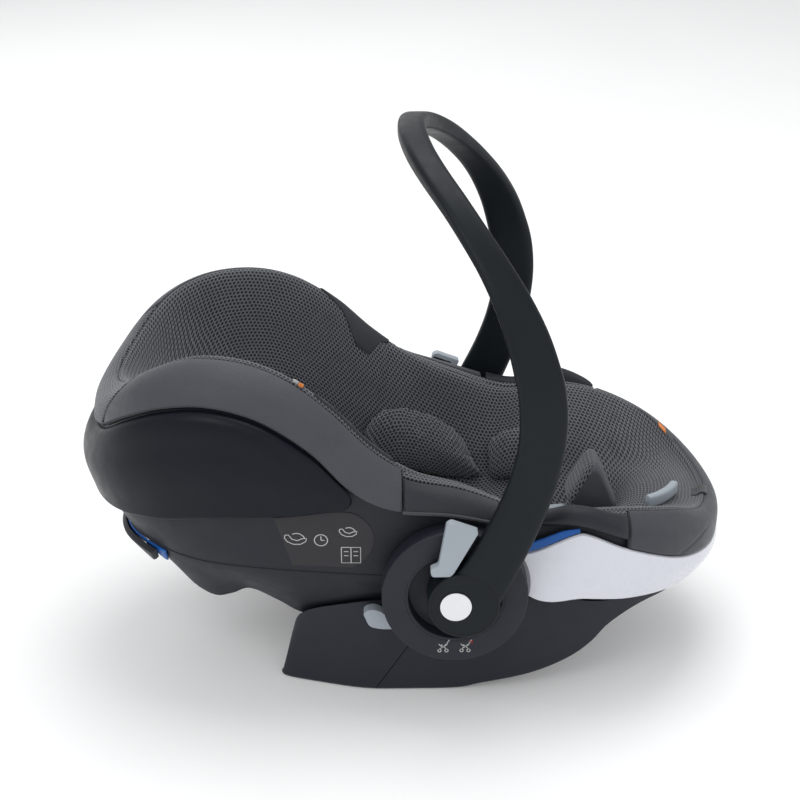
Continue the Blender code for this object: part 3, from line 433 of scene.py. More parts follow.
def prism(name, outline, y_low, y_high, material, bevel, body):
    """Side outline (x, z) with thickness along Y and rounded edges."""
    mesh = bmesh.new()
    low = [mesh.verts.new((x, y_low, z)) for x, z in outline]
    high = [mesh.verts.new((x, y_high, z)) for x, z in outline]
    mesh.faces.new(low)
    mesh.faces.new(high)
    for i in range(len(outline)):
        j = (i + 1) % len(outline)
        mesh.faces.new((low[i], low[j], high[j], high[i]))
    bmesh.ops.recalc_face_normals(mesh, faces=mesh.faces)
    bmesh.ops.bevel(mesh, geom=mesh.edges[:], offset=bevel, segments=4, profile=0.5,
                    affect="EDGES", clamp_overlap=True)
    return new_object(name, mesh, material, body)


def block(name, centre, size, bevel, material, body="seat", tilt=0.0):
    mesh = bmesh.new()
    bmesh.ops.create_cube(mesh, size=1.0)
    bmesh.ops.scale(mesh, vec=size, verts=mesh.verts)
    bmesh.ops.bevel(mesh, geom=mesh.edges[:], offset=bevel, segments=5, profile=0.5,
                    affect="EDGES", clamp_overlap=True)
    angle = math.radians(tilt)
    for vert in mesh.verts:
        x, z = vert.co.x, vert.co.z
        vert.co = Vector((x * math.cos(angle) + z * math.sin(angle), vert.co.y,
                          -x * math.sin(angle) + z * math.cos(angle))) + Vector(centre)
    return new_object(name, mesh, material, body)


# ---------------------------------------------------------------- materials
def linear(colour):
    return [((c / 255 + 0.055) / 1.055) ** 2.4 if c > 10 else c / 255 / 12.92 for c in colour] + [1.0]


class Paint:
    """Node material with a Principled shader; the helpers return output sockets."""

    def __init__(self, name, roughness, **sockets):
        self.material = bpy.data.materials.new(name)
        self.material.use_nodes = True
        self.nodes = self.material.node_tree.nodes
        self.links = self.material.node_tree.links
        self.shader = self.nodes["Principled BSDF"]
        self.shader.inputs["Roughness"].default_value = roughness
        for key, value in sockets.items():
            self.shader.inputs[key.replace("_", " ")].default_value = value

    def node(self, kind, **settings):
        node = self.nodes.new(kind)
        for key, value in settings.items():
            setattr(node, key, value)
        return node

    def put(self, source, target):
        if isinstance(source, (int, float)):
            target.default_value = source
        else:
            self.links.new(source, target)

    def math(self, operation, a, b=0.0, c=0.0):
        node = self.node("ShaderNodeMath", operation=operation)
        for value, socket in zip((a, b, c), node.inputs):
            self.put(value, socket)
        return node.outputs[0]

    def place(self):
        return self.node("ShaderNodeTexCoord").outputs["Object"]

    def attribute(self, name):
        return self.node("ShaderNodeAttribute", attribute_name=name).outputs["Vector"]

    def noise(self, scale, detail=3.0, vector=None, roughness=0.55):
        node = self.node("ShaderNodeTexNoise")
        node.inputs["Scale"].default_value = scale
        node.inputs["Detail"].default_value = detail
        node.inputs["Roughness"].default_value = roughness
        self.links.new(vector or self.place(), node.inputs["Vector"])
        return node.outputs["Fac"]

    def cells(self, scale, vector=None, feature="F1", randomness=1.0, dimensions="3D"):
        node = self.node("ShaderNodeTexVoronoi", feature=feature, voronoi_dimensions=dimensions)
        node.inputs["Scale"].default_value = scale
        node.inputs["Randomness"].default_value = randomness
        self.links.new(vector or self.place(), node.inputs["Vector"])
        return node.outputs["Distance"]

    def ramp(self, value, *stops):
        """Colour ramp through (position, colour) stops."""
        node = self.node("ShaderNodeValToRGB")
        while len(node.color_ramp.elements) < len(stops):
            node.color_ramp.elements.new(0.5)
        for element, (position, colour) in zip(node.color_ramp.elements, stops):
            element.position = position
            element.color = colour if len(colour) == 4 else list(colour) + [1.0]
        self.links.new(value, node.inputs["Fac"])
        return node.outputs["Color"]

    def span(self, value, low, high, to_low=0.0, to_high=1.0):
        node = self.node("ShaderNodeMapRange", interpolation_type="SMOOTHSTEP")
        self.links.new(value, node.inputs["Value"])
        for key, number in (("From Min", low), ("From Max", high), ("To Min", to_low),
                            ("To Max", to_high)):
            node.inputs[key].default_value = number
        return node.outputs["Result"]

    def bump(self, value, distance, strength=1.0, under=None):
        node = self.node("ShaderNodeBump")
        node.inputs["Distance"].default_value = distance
        node.inputs["Strength"].default_value = strength
        self.links.new(value, node.inputs["Height"])
        if under is not None:
            self.links.new(under, node.inputs["Normal"])
        self.links.new(node.outputs["Normal"], self.shader.inputs["Normal"])
        return node.outputs["Normal"]

    def colour(self, socket):
        self.links.new(socket, self.shader.inputs["Base Color"])

    def rough(self, socket):
        self.links.new(socket, self.shader.inputs["Roughness"])


def moulded(name, colour, roughness, grain=1400.0, depth=0.00006, spread=0.07, **sockets):
    """Moulded plastic with an eroded grain, slight cloudiness and uneven gloss."""
    sockets.setdefault("Specular_IOR_Level", 0.28)
    paint = Paint(name, roughness, **sockets)
    cloud = paint.noise(9.0, 4.0)
    base = np.array(linear(colour)[:3])
    paint.colour(paint.ramp(cloud, (0.30, tuple(base * (1 - spread))), (0.70, tuple(base * (1 + spread)))))
    paint.rough(paint.span(paint.noise(60.0, 3.0), 0.3, 0.7, roughness - 0.03, roughness + 0.05))
    fine = paint.noise(grain, 2.0)
    pits = paint.cells(grain * 0.6)
    paint.bump(paint.math("ADD", fine, pits), depth, 0.6)
    return paint.material


def leatherette(name, colour, roughness=0.50):
    """Coated fabric: pebbled grain of two sizes, soft sheen and faint shading."""
    paint = Paint(name, roughness, Sheen_Weight=0.12, Sheen_Roughness=0.5, Specular_IOR_Level=0.28)
    base = np.array(linear(colour)[:3])
    cloud = paint.math("MULTIPLY_ADD", paint.noise(14.0, 5.0), 0.7, paint.math(
        "MULTIPLY", paint.noise(420.0, 2.0), 0.3))
    paint.colour(paint.ramp(cloud, (0.32, tuple(base * 0.90)), (0.68, tuple(base * 1.10))))
    pebble = paint.cells(620.0, feature="DISTANCE_TO_EDGE")
    grain = paint.span(pebble, 0.0, 0.22)
    paint.rough(paint.span(paint.noise(90.0, 2.0), 0.3, 0.7, roughness - 0.04, roughness + 0.06))
    soft = paint.bump(paint.noise(170.0, 3.0), 0.0005, 0.5)
    paint.bump(grain, 0.00009, 0.7, soft)
    return paint.material


def air_mesh(name, strand, hole, cell=0.0043, row=0.0037):
    """Three-dimensional knit: rows of round holes, offset by half, painted near black inside as painted
    shade of their depth.
    """
    paint = Paint(name, 0.78, Sheen_Weight=0.35, Sheen_Roughness=0.45)
    split = paint.node("ShaderNodeSeparateXYZ")
    paint.links.new(paint.attribute("weave"), split.inputs[0])
    wobble = paint.math("MULTIPLY", paint.math("SUBTRACT", paint.noise(60.0, 2.0), 0.5), 0.35)
    u = paint.math("ADD", paint.math("DIVIDE", split.outputs[0], cell), wobble)
    v = paint.math("ADD", paint.math("DIVIDE", split.outputs[1], 2 * row), wobble)
    nearest = None
    for shift in (0.0, 0.5):
        du = paint.math("SUBTRACT", paint.math("FRACT", paint.math("ADD", u, shift)), 0.5)
        dv = paint.math("SUBTRACT", paint.math("FRACT", paint.math("ADD", v, shift)), 0.5)
        dv = paint.math("MULTIPLY", dv, 2 * row / cell)
        square = paint.math("ADD", paint.math("MULTIPLY", du, du), paint.math("MULTIPLY", dv, dv))
        distance = paint.math("SQRT", square)
        nearest = distance if nearest is None else paint.math("MINIMUM", nearest, distance)
    yarn = paint.noise(1500.0, 2.0)
    edge = paint.math("ADD", nearest, paint.math("MULTIPLY", paint.math("SUBTRACT", yarn, 0.5), 0.10))
    open_share = paint.span(edge, 0.31, 0.44)
    base, dark = np.array(linear(strand)[:3]), np.array(linear(hole)[:3])
    cloud = paint.noise(22.0, 4.0)
    tint = paint.ramp(cloud, (0.30, tuple(base * 0.86)), (0.70, tuple(base * 1.14)))
    mix = paint.node("ShaderNodeMix", data_type="RGBA")
    paint.links.new(open_share, mix.inputs["Factor"])
    # The holes get the near-black colour: painted shade of the recessed holes, not a fabric colour.
    mix.inputs["A"].default_value = list(dark) + [1.0]
    paint.links.new(tint, mix.inputs["B"])
    paint.colour(mix.outputs["Result"])
    thread = paint.bump(yarn, 0.0003, 0.5)
    paint.bump(open_share, 0.0011, 0.9, thread)
    return paint.material


def webbing(name, colour):
    """Woven strap: fine diagonal weave."""
    paint = Paint(name, 0.72, Sheen_Weight=0.4, Sheen_Roughness=0.4)
    split = paint.node("ShaderNodeSeparateXYZ")
    paint.links.new(paint.place(), split.inputs[0])
    along = paint.math("MULTIPLY", split.outputs[0], 2600.0)
    across = paint.math("MULTIPLY", split.outputs[1], 2600.0)
    one = paint.math("SINE", paint.math("ADD", along, across))
    two = paint.math("SINE", paint.math("SUBTRACT", along, across))
    weave = paint.math("MULTIPLY", paint.math("ADD", one, two), 0.25)
    base = np.array(linear(colour)[:3])
    value = paint.math("ADD", weave, 0.5)
    paint.colour(paint.ramp(value, (0.1, tuple(base * 0.6)), (0.9, tuple(base * 1.3))))
    paint.bump(value, 0.0003, 0.8)
    return paint.material


def bead_foam(name, colour):
    paint = Paint(name, 0.85)
    edge = paint.cells(330.0, feature="DISTANCE_TO_EDGE")
    base = np.array(linear(colour)[:3])
    paint.colour(paint.ramp(edge, (0.0, tuple(base * 0.78)), (0.18, tuple(base))))
    paint.bump(paint.span(edge, 0.0, 0.2), 0.0004, 0.8)
    return paint.material


def metal(name, colour, roughness):
    paint = Paint(name, roughness, Metallic=1.0)
    base = np.array(linear(colour)[:3])
    paint.colour(paint.ramp(paint.noise(300.0, 3.0), (0.3, tuple(base * 0.85)), (0.7, tuple(base))))
    paint.rough(paint.span(paint.noise(900.0, 2.0), 0.3, 0.7, roughness - 0.06, roughness + 0.08))
    return paint.material


def sewn(name, colour):
    """Bound edge: thin ribbed tape."""
    paint = Paint(name, 0.62, Sheen_Weight=0.3)
    base = np.array(linear(colour)[:3])
    rib = paint.noise(700.0, 2.0)
    paint.colour(paint.ramp(rib, (0.3, tuple(base * 0.8)), (0.7, tuple(base * 1.15))))
    paint.bump(rib, 0.0004, 0.7)
    return paint.material


GREY = leatherette("grey_leatherette", (66, 69, 75))
DEEP_GREY = leatherette("dark_leatherette", (42, 45, 51))
FOOT_GREY = leatherette("foot_leatherette", (56, 59, 65))
# Air mesh: strand colour, then the near-black hole colour, which is painted shade inside the holes.
MESH = air_mesh("air_mesh", (92, 95, 104), (7, 8, 10))
SHELL = moulded("shell_plastic", (34, 36, 43), 0.50)
PANEL = moulded("panel_plastic", (18, 22, 30), 0.36, 1800.0, 0.00003, Specular_IOR_Level=0.16)
BASE = moulded("base_plastic", (36, 38, 47), 0.48)
HANDLE = moulded("handle_plastic", (19, 25, 30), 0.42, 1600.0, 0.00004, Specular_IOR_Level=0.20)
RUBBER = moulded("soft_black", (24, 25, 28), 0.60)
TRIM = moulded("trim_plastic", (212, 214, 222), 0.28, 2400.0, 0.00002, 0.015, Coat_Weight=0.3)
BUTTON = moulded("button_plastic", (158, 166, 174), 0.40, 2000.0, 0.00003, 0.03)
BLUE = moulded("guide_plastic", (24, 84, 160), 0.38, 1800.0, 0.00003)
CAP = moulded("cap_plastic", (232, 233, 236), 0.25, 2600.0, 0.00002, 0.012)
LABEL = moulded("label_film", (46, 45, 49), 0.42, 2200.0, 0.00002)
INK = moulded("label_print", (178, 178, 178), 0.55, 2200.0, 0.00001)
RED = moulded("red_plastic", (176, 28, 30), 0.35, 2000.0, 0.00003)
ORANGE = sewn("tag_orange", (214, 120, 38))
BINDING = sewn("binding", (52, 54, 60))
STRAP = webbing("strap_webbing", (38, 39, 43))
FOAM = bead_foam("bead_foam", (228, 228, 224))
STEEL = metal("zinc_steel", (188, 190, 194), 0.30)
# Deep black: painted shade for the boss groove, the cap gap and the buckle slot; also used for the wedge
# ribs.
DARK = moulded("deep_black", (14, 15, 18), 0.7)
SLOTS = {"soft_grey": GREY, "mesh_fabric": MESH, "dark_shell": SHELL, "panel_black": PANEL,
         "base_black": BASE, "handle_black": HANDLE, "trim_white": TRIM, "button_grey": BUTTON,
         "guide_blue": BLUE, "cap_white": CAP, "label_brown": LABEL, "button_red": RED,
         "strap_black": STRAP, "foam_white": FOAM, "steel": STEEL, "buckle_black": RUBBER}
for entry in frame["record"]["subparts"]:
    node = frame["nodes"][entry["node"]]
    node.data.materials.clear()
    node.data.materials.append(SLOTS[entry["material_slot"]])
    for polygon in node.data.polygons:
        polygon.use_smooth = True
    node.data.set_sharp_from_angle(angle=math.radians(35))


# ---------------------------------------------------------------- camera, light and floor
def make_stage():
    elevation, azimuth = math.radians(24.5), math.radians(-1.0)
    target = Vector((0, 0, 0.265))
    back = Vector((math.sin(azimuth) * math.cos(elevation),
                   -math.cos(azimuth) * math.cos(elevation), math.sin(elevation)))
    data = bpy.data.cameras.new("camera")
    data.sensor_width = 36
    data.lens = 87.75
    data.clip_start = 0.05
    camera = bpy.data.objects.new("camera", data)
    camera.location = target + back * 2.05
    camera.rotation_euler = back.to_track_quat("Z", "Y").to_euler()
    bpy.context.scene.collection.objects.link(camera)
    bpy.context.scene.camera = camera
    lamps = (("key", (-1.5, -1.9, 2.3), 1.8, 20), ("front", (0.9, -2.4, 1.0), 1.8, 5),
             ("top", (0.2, 0.5, 2.6), 1.6, 26), ("side", (2.3, -0.2, 1.2), 1.4, 6),
             ("back", (-0.8, 2.3, 1.7), 2.0, 10))
    for name, place, size, power in lamps:
        lamp = bpy.data.lights.new(name, "AREA")
        lamp.energy = power
        lamp.size = size
        holder = bpy.data.objects.new(name, lamp)
        holder.location = place
        holder.rotation_euler = (Vector(place) - Vector((0, 0, 0.2))).to_track_quat("Z", "Y").to_euler()
        bpy.context.scene.collection.objects.link(holder)
    world = bpy.data.worlds.new("world")
    world.use_nodes = True
    world.node_tree.nodes["Background"].inputs["Color"].default_value = (0.98, 0.99, 1.0, 1)
    world.node_tree.nodes["Background"].inputs["Strength"].default_value = 0.62
    bpy.context.scene.world = world
    bpy.context.scene.view_settings.view_transform = "Standard"
    mesh = bmesh.new()
    bmesh.ops.create_grid(mesh, x_segments=4, y_segments=4, size=14)
    data = bpy.data.meshes.new("floor")
    mesh.to_mesh(data)
    mesh.free()
    floor = bpy.data.objects.new("floor", data)
    floor.location = (0, 0, -0.0005)
    bpy.context.scene.collection.objects.link(floor)
    paint = Paint("floor_paper", 0.85, Emission_Color=(1, 1, 1, 1), Emission_Strength=0.10)
    paint.colour(paint.ramp(paint.noise(3.0, 2.0), (0.3, (0.93, 0.93, 0.93)), (0.7, (0.95, 0.95, 0.95))))
    data.materials.append(paint.material)


# ---------------------------------------------------------------- shell and liner
def ring_weave(rings):
    """Pattern coordinates of a stack of rings: along each side, and down from the first ring."""
    rings = np.array(rings)
    down = arc_lengths(rings, 0)
    weave = []
    for ring, v in zip(rings, down):
        half = ring[:HALF + 1]
        along = np.concatenate([[0], np.cumsum(np.linalg.norm(np.diff(half, axis=0), axis=1))])
        along -= np.interp(0.0, -half[:, 0], along)
        both = np.concatenate([along, along[1:-1][::-1]])
        weave.append(np.column_stack([both, v]))
    return weave


def bowl(name, rings, inner, material, body="seat", weave=None):
    """Closed bowl: rings down the outside, then rings back up the inside."""
    mesh = bmesh.new()
    layer = mesh.verts.layers.float_vector.new("weave")
    stacks = []
    for rings_here in (rings, inner):
        rows = []
        for k, ring in enumerate(rings_here):
            line = [mesh.verts.new(point) for point in ring]
            if weave is not None:
                source = weave[min(k, len(weave) - 1)] if rings_here is rings else weave[0]
                for vert, value in zip(line, source):
                    vert[layer] = (value[0], value[1], 0)
            rows.append(line)
        for low, high in zip(rows[:-1], rows[1:]):
            for i in range(COLUMNS):
                j = (i + 1) % COLUMNS
                mesh.faces.new((low[i], low[j], high[j], high[i]))
        bottom = rows[-1]
        mesh.faces.new((bottom[0], bottom[1], bottom[-1]))
        for i in range(1, HALF - 1):
            mesh.faces.new((bottom[i], bottom[i + 1], bottom[COLUMNS - i - 1], bottom[COLUMNS - i]))
        mesh.faces.new((bottom[HALF - 1], bottom[HALF], bottom[HALF + 1]))
        stacks.append(rows)
    for i in range(COLUMNS):
        j = (i + 1) % COLUMNS
        mesh.faces.new((stacks[0][0][i], stacks[0][0][j], stacks[1][0][j], stacks[1][0][i]))
    bmesh.ops.recalc_face_normals(mesh, faces=mesh.faces)
    return new_object(name, mesh, material, body, 50)


def make_shell():
    levels = list(np.linspace(6.0, 2.0, 24)) + list(np.linspace(1.95, 1.04, 18)) + [
        1.02, 1.0, 0.985, 0.97] + list(np.linspace(0.93, 0.0, 22))
    rings = [shell.ring(level) for level in levels]
    inner = [shell.offset(level, -0.003) for level in levels[::4]]
    skin = bowl("shell_skin", rings, inner, SHELL)
    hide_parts("seat_shell")
    ring = shell.offset(1.0, 0.0)
    columns = np.linspace(place_at_x(ring, -0.020), COLUMNS - place_at_x(ring, -0.020), 400)
    tube("shell_parting_line", shell.at(1.0, columns)[0], 0.0011, SHELL, sides=8)


SEAMS = (((-0.007, 0.285), (-0.011, 0.262), (-0.018, 0.234), (-0.026, 0.200), (-0.033, 0.168)),
         ((0.240, 0.190), (0.232, 0.176), (0.240, 0.164)))


def seam_dent(x, z, depth=0.0022, width=0.0024):
    """Depth of the sewn seams of the liner at a place in side view."""
    nearest = np.full(np.shape(x), 1.0)
    for line in SEAMS:
        curve = catmull(np.array([(a, 0, b) for a, b in line]), 8)
        for a, b in zip(curve[:-1], curve[1:]):
            ax, az, bx, bz = a[0], a[2], b[0], b[2]
            length = (bx - ax) ** 2 + (bz - az) ** 2
            t = np.clip(((x - ax) * (bx - ax) + (z - az) * (bz - az)) / length, 0, 1)
            nearest = np.minimum(nearest, np.hypot(x - ax - t * (bx - ax), z - az - t * (bz - az)))
    return depth * np.exp(-(nearest / width) ** 2)


def make_liner():
    levels = np.concatenate([np.linspace(TOP - 0.16, TOP + 0.5, 12), np.linspace(TOP + 0.6, ROLL, 6),
                             np.linspace(ROLL + 0.08, MIDDLE, 44)])
    rings = []
    for level in levels:
        ring, normal = seat.frame(level)
        edge = 0.0022 * math.exp(-((level - levels[0]) / 0.05) ** 2)
        soft = 0.0012 * math.sin(math.pi * float(np.clip((level - TOP) / 3.0, 0, 1)))
        dent = seam_dent(ring[:, 0], ring[:, 2]) * (level > TOP + 0.05)
        rings.append(ring + normal * (soft - edge - dent)[:, None])
    inner = [seat.offset(level, -0.0035) for level in levels[::5]]
    liner = bowl("seat_liner_fabric", rings, inner, MESH,
                 weave=ring_weave(rings))
    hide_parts("seat_liner")
    low, high = TOP + 0.03, ROLL + 0.40

    def start(level):
        t = (level - low) / (high - low)
        return -0.010 - 0.024 * t ** 3

    def end(level):
        t = (level - low) / (high - low)
        return -0.086 + 0.040 * t ** 1.6

    for side, word in SIDES:
        crescent = patch("rim_crescent_" + word, DEEP_GREY, seat, low, high, start, end, side,
                         across=30, along=80, radius=0.0014, thickness=0.001,
                         height=lambda points, u, v, ends, rims: 0.0022)


# ---------------------------------------------------------------- cover
def strip_end(level):
    t = (level - EDGE) / (TOP - EDGE)
    return -0.302 + 0.052 * t ** 1.5


CUFF = TOP - 0.52                 # where the mesh cuff of the side cover begins


def make_cover():
    def puff(amount):
        return lambda points, u, v, ends, rims: amount * (1 - np.exp(-rims / 0.010))

    for side, word in SIDES:
        strip = patch("rim_strip_" + word, GREY, seat, EDGE + 0.02, TOP - 0.17, always(-0.0008),
                      lambda level: strip_end(level) + 0.0008, side, across=34, along=200,
                      radius=0.0022, height=puff(0.0010))
        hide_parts("rim_cover_" + word)
        cover = patch("side_wrap_" + word, DEEP_GREY, seat, EDGE + 0.02, CUFF, always(0.0950),
                      always(0.0008), side, across=24, along=80, radius=0.0022,
                      height=puff(0.0010))
        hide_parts("side_cover_" + word)
        cuff = patch("side_cuff_" + word, MESH, seat, CUFF + 0.012, TOP - 0.14, always(0.2236),
                     always(0.0008), side, across=16, along=140, radius=0.0020)
        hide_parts("rim_bridge_" + word)
        ring = seat.ring(EDGE + 0.03)
        columns = np.linspace(place_at_x(ring, 0.095), place_at_x(ring, 0.0), 60)
        columns = columns if side > 0 else COLUMNS - columns
        point, normal = seat.at(EDGE + 0.03, columns)
        lip = point + normal * 0.0002
        tube("side_piping_" + word, lip, 0.0016, BINDING)
    head = patch("head_mesh", MESH, seat, EDGE + 0.02, TOP - 0.17,
                 lambda level: strip_end(level) - 0.0008, where="head", across=34, along=220,
                 radius=0.0022, height=puff(0.0012))
    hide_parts("head_cover")

    def foot_shape(points, u, v, ends, rims):
        emboss = np.exp(-((points[..., 2] - 0.1625 - 0.25 * (points[..., 0] - 0.30)) / 0.0012) ** 2)
        emboss = emboss * smooth_step(0.262, 0.270, points[..., 0]) * smooth_step(
            0.318, 0.306, points[..., 0]) * smooth_step(0.06, 0.075, np.abs(points[..., 1]))
        return 0.0010 * (1 - np.exp(-rims / 0.010)) - 0.0009 * emboss

    foot = patch("foot_wrap", FOOT_GREY, seat, EDGE + 0.02, TOP - 0.14, always(0.2246), where="foot",
                 across=44, along=260, radius=0.0030, height=foot_shape)
    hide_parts("foot_cover")


# ---------------------------------------------------------------- panels
def make_head_panel():
    def end(level):
        return -0.050 - 0.010 * abs(level - 1.0) ** 2.5

    def shape(points, u, v, ends, rims):
        top = v[-1:] - v
        belly = 0.0022 * smooth_step(0.045, 0.016, top)
        return belly - 0.95 * rounded(top, 0.0135)

    panel = patch("head_shield", PANEL, seat, LOWER + 0.02, EDGE - 0.015, end, where="head",
                  across=60, along=420, radius=0.0016, thickness=0.005, height=shape)
    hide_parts("head_panel")


def trim_end(level):
    z = 0.118 + 0.058 * level / EDGE
    return HUB_X + math.sqrt(max((HUB_RADIUS + 0.003) ** 2 - (z - HUB_Z) ** 2, 0))


TRIM_APEX_X = 0.177
TRIM_LOW = LOWER + 0.03


def trim_drop(x):
    return 0.85 * float(np.clip((TRIM_APEX_X - x) / 0.058, 0, 1))


HORN_LOW, HORN_HIGH = EDGE + 0.40, BULGE + 0.56


def horn_shape(points, u, v, ends, rims):
    """Height of the belt horn, with a bend near its rounded tip."""
    s = v / v[-1:]
    x = points[..., 0]
    tip = np.sqrt(np.clip(1 - np.clip((x - 0.194) / 0.0285, 0, 1) ** 2, 0, 1))
    rise = smooth_step(0.130, 0.170, x) - 0.25 * smooth_step(0.180, 0.210, x)
    full = np.sqrt(np.clip(1 - np.abs(2 * s - 1) ** 2.4, 0, 1))
    return 0.0008 + (0.0020 + 0.0100 * rise) * tip * full


def make_foot_trim():
    trim = patch("foot_band", TRIM, seat, TRIM_LOW, EDGE - 0.02, trim_end, where="foot",
                 across=40, along=420, radius=0.0016, thickness=0.005,
                 drop=lambda level, x: max(level - trim_drop(x) * level / EDGE, TRIM_LOW))
    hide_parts("foot_trim")
    for side, word in SIDES:
        guide = patch("lap_guide_" + word, BLUE, seat, EDGE + 0.03, EDGE + 0.30, always(0.174),
                      always(0.1205), side, across=10, along=50, radius=0.0008, thickness=0.002,
                      drop=lambda level, x: max(level - trim_drop(x), LOWER))
        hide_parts("lap_belt_channel_" + word)
        horn = patch("horn_" + word, SHELL, seat, HORN_LOW, HORN_HIGH, always(0.2218), always(0.100),
                     side, across=40, along=110, radius=0.0002, thickness=0.0018,
                     height=horn_shape, round_ends=False)
        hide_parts("belt_horn_" + word)


# ---------------------------------------------------------------- base
def base_plan(grow, drop):
    angle = np.linspace(0, math.pi, 1201)
    cosine, sine = np.cos(angle), np.sin(angle)
    rear_reach = BASE_MIDDLE - BASE_REAR - 0.026 * drop + grow
    front_reach = BASE_FRONT - BASE_MIDDLE + grow
    half_width = BASE_HALF_WIDTH + 0.003 * drop + grow
    power = np.where(cosine > 0, 3.3, 14.0)
    reach = np.where(cosine > 0, front_reach, rear_reach)
    x = BASE_MIDDLE + reach * np.sign(cosine) * abs(cosine) ** (2 / power)
    taper = 1 - 0.16 * smooth_step(-0.02, BASE_REAR, x)
    y = half_width * taper * abs(sine) ** (2 / power)
    bay = 1 - np.minimum(y / REAR_BAY_HALF_WIDTH, 1) ** 2.5
    rear = smooth_step(0.80, 0.94, (BASE_MIDDLE - x) / rear_reach)
    return x + REAR_BAY_DEPTH * bay * rear, y


def base_ring(inset, drop):
    x, y = base_plan(-inset, drop)
    ring = closed_loop(np.column_stack([x, y, 0 * x]))
    low = np.maximum(profile(BASE_BOTTOM, ring[:, 0]), 0) + inset
    high = np.maximum(profile(BASE_TOP, ring[:, 0]), low + 0.002)
    ring[:, 2] = low * (1 - drop) + high * drop
    return ring


def lowered_ring(inset, raise_by, shrink):
    x, y = base_plan(-inset - shrink, 0.0)
    ring = closed_loop(np.column_stack([x, y, 0 * x]))
    ring[:, 2] = np.maximum(profile(BASE_BOTTOM, ring[:, 0]), 0) + inset + raise_by
    return ring


def shell_roof():
    """Height of the shell's skin over a place in plan, seen from below."""
    rings = [shell.ring(level) for level in np.linspace(0, 4, 33)]
    corners = [tuple(point) for ring in rings for point in ring]
    quads = []
    for k in range(len(rings) - 1):
        for i in range(COLUMNS):
            j = (i + 1) % COLUMNS
            quads.append((k * COLUMNS + i, k * COLUMNS + j,
                          (k + 1) * COLUMNS + j, (k + 1) * COLUMNS + i))
    for i in range(HALF):
        quads.append((i, i + 1, COLUMNS - i - 1, (COLUMNS - i) % COLUMNS))
    tree = BVHTree.FromPolygons(corners, quads)

    def height(x, y):
        hit = tree.ray_cast(Vector((x, y, -1)), Vector((0, 0, 1)))[0]
        return hit.z if hit else 1.0
    return height


def make_base():
    roof = shell_roof()
    rings = [base_ring(0.0, drop) for drop in np.linspace(1, 0.06, 14)]
    for t in np.linspace(0, 1, 6):
        rings.append(lowered_ring(0.0, 0.0040 * (1 - math.sin(t * math.pi / 2)),
                                  0.0040 * (1 - math.cos(t * math.pi / 2))))
    rings.append(lowered_ring(0.0, 0.0, 0.030))
    rings.append(lowered_ring(0.0, 0.0, 0.070))
    inner = [base_ring(0.003, 1.0), base_ring(0.003, 0.5), lowered_ring(0.003, 0.004, 0.0),
             lowered_ring(0.003, 0.0, 0.004), lowered_ring(0.003, 0.0, 0.070)]
    lids = []
    for point, partner in zip(rings[0], inner[0]):
        lids.append(min(roof(place[0] + dx, place[1] + dy) for place in (point, partner)
                        for dx in (-0.002, 0.002) for dy in (-0.002, 0.002)) - 0.0025)
    lids = np.array(lids)
    for _ in range(6):
        lids = np.minimum(lids, (np.roll(lids, 1) + lids + np.roll(lids, -1)) / 3)
    for ring in rings + inner:
        ring[:, 2] = np.minimum(ring[:, 2], lids)
    whole = bowl("base_front", rings, inner, BASE)
    rear = whole.copy()
    rear.data = whole.data.copy()
    rear.name = "base_rear"
    bpy.context.scene.collection.objects.link(rear)
    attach(rear, "seat")
    across = Vector((0.051, 0, -0.033)).normalized()
    point = Vector((-0.029, 0, 0))
    for piece, direction in ((whole, 1), (rear, -1)):
        mesh = bmesh.new()
        mesh.from_mesh(piece.data)
        bmesh.ops.bisect_plane(mesh, geom=mesh.verts[:] + mesh.edges[:] + mesh.faces[:],
                               plane_co=point + across * 0.0004 * direction,
                               plane_no=-across * direction, clear_outer=True)
        edges = [edge for edge in mesh.edges if edge.is_boundary]
        bmesh.ops.edgeloop_fill(mesh, edges=edges)
        bmesh.ops.recalc_face_normals(mesh, faces=mesh.faces)
        mesh.to_mesh(piece.data)
        mesh.free()
    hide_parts("rocker_base")
    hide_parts("rear_foot")


# ---------------------------------------------------------------- handle and hubs
HANDLE_SIDE = [(0.140, 0.062), (0.170, 0.0805), (0.200, 0.0955), (0.250, 0.1165), (0.300, 0.1295),
               (0.350, 0.1315), (0.400, 0.1205), (0.440, 0.1050), (0.480, 0.0815),
               (0.520, 0.0500), (0.545, 0.0250), (0.559, 0.0115)]
HANDLE_WIDTH = [(0.140, 0.060), (0.170, 0.052), (0.200, 0.049), (0.250, 0.046), (0.300, 0.045),
                (0.350, 0.046), (0.400, 0.043), (0.440, 0.037), (0.480, 0.030),
                (0.520, 0.027), (0.559, 0.028)]


def handle_path():
    half = [(z, HANDLE_HALF_WIDTH) for z in (0.140, 0.170, 0.200, 0.240, 0.280, 0.320)]
    for degrees in range(0, 91, 9):
        a = math.radians(degrees)
        half.append((HANDLE_ARCH_Z + HANDLE_ARCH_RISE * math.sin(a), HANDLE_HALF_WIDTH * math.cos(a)))
    points = [(float(profile(HANDLE_SIDE, z)), -y, z) for z, y in half]
    points += [(x, -y, z) for x, y, z in reversed(points[:-1])]
    return spaced(catmull(points, 10), 260)


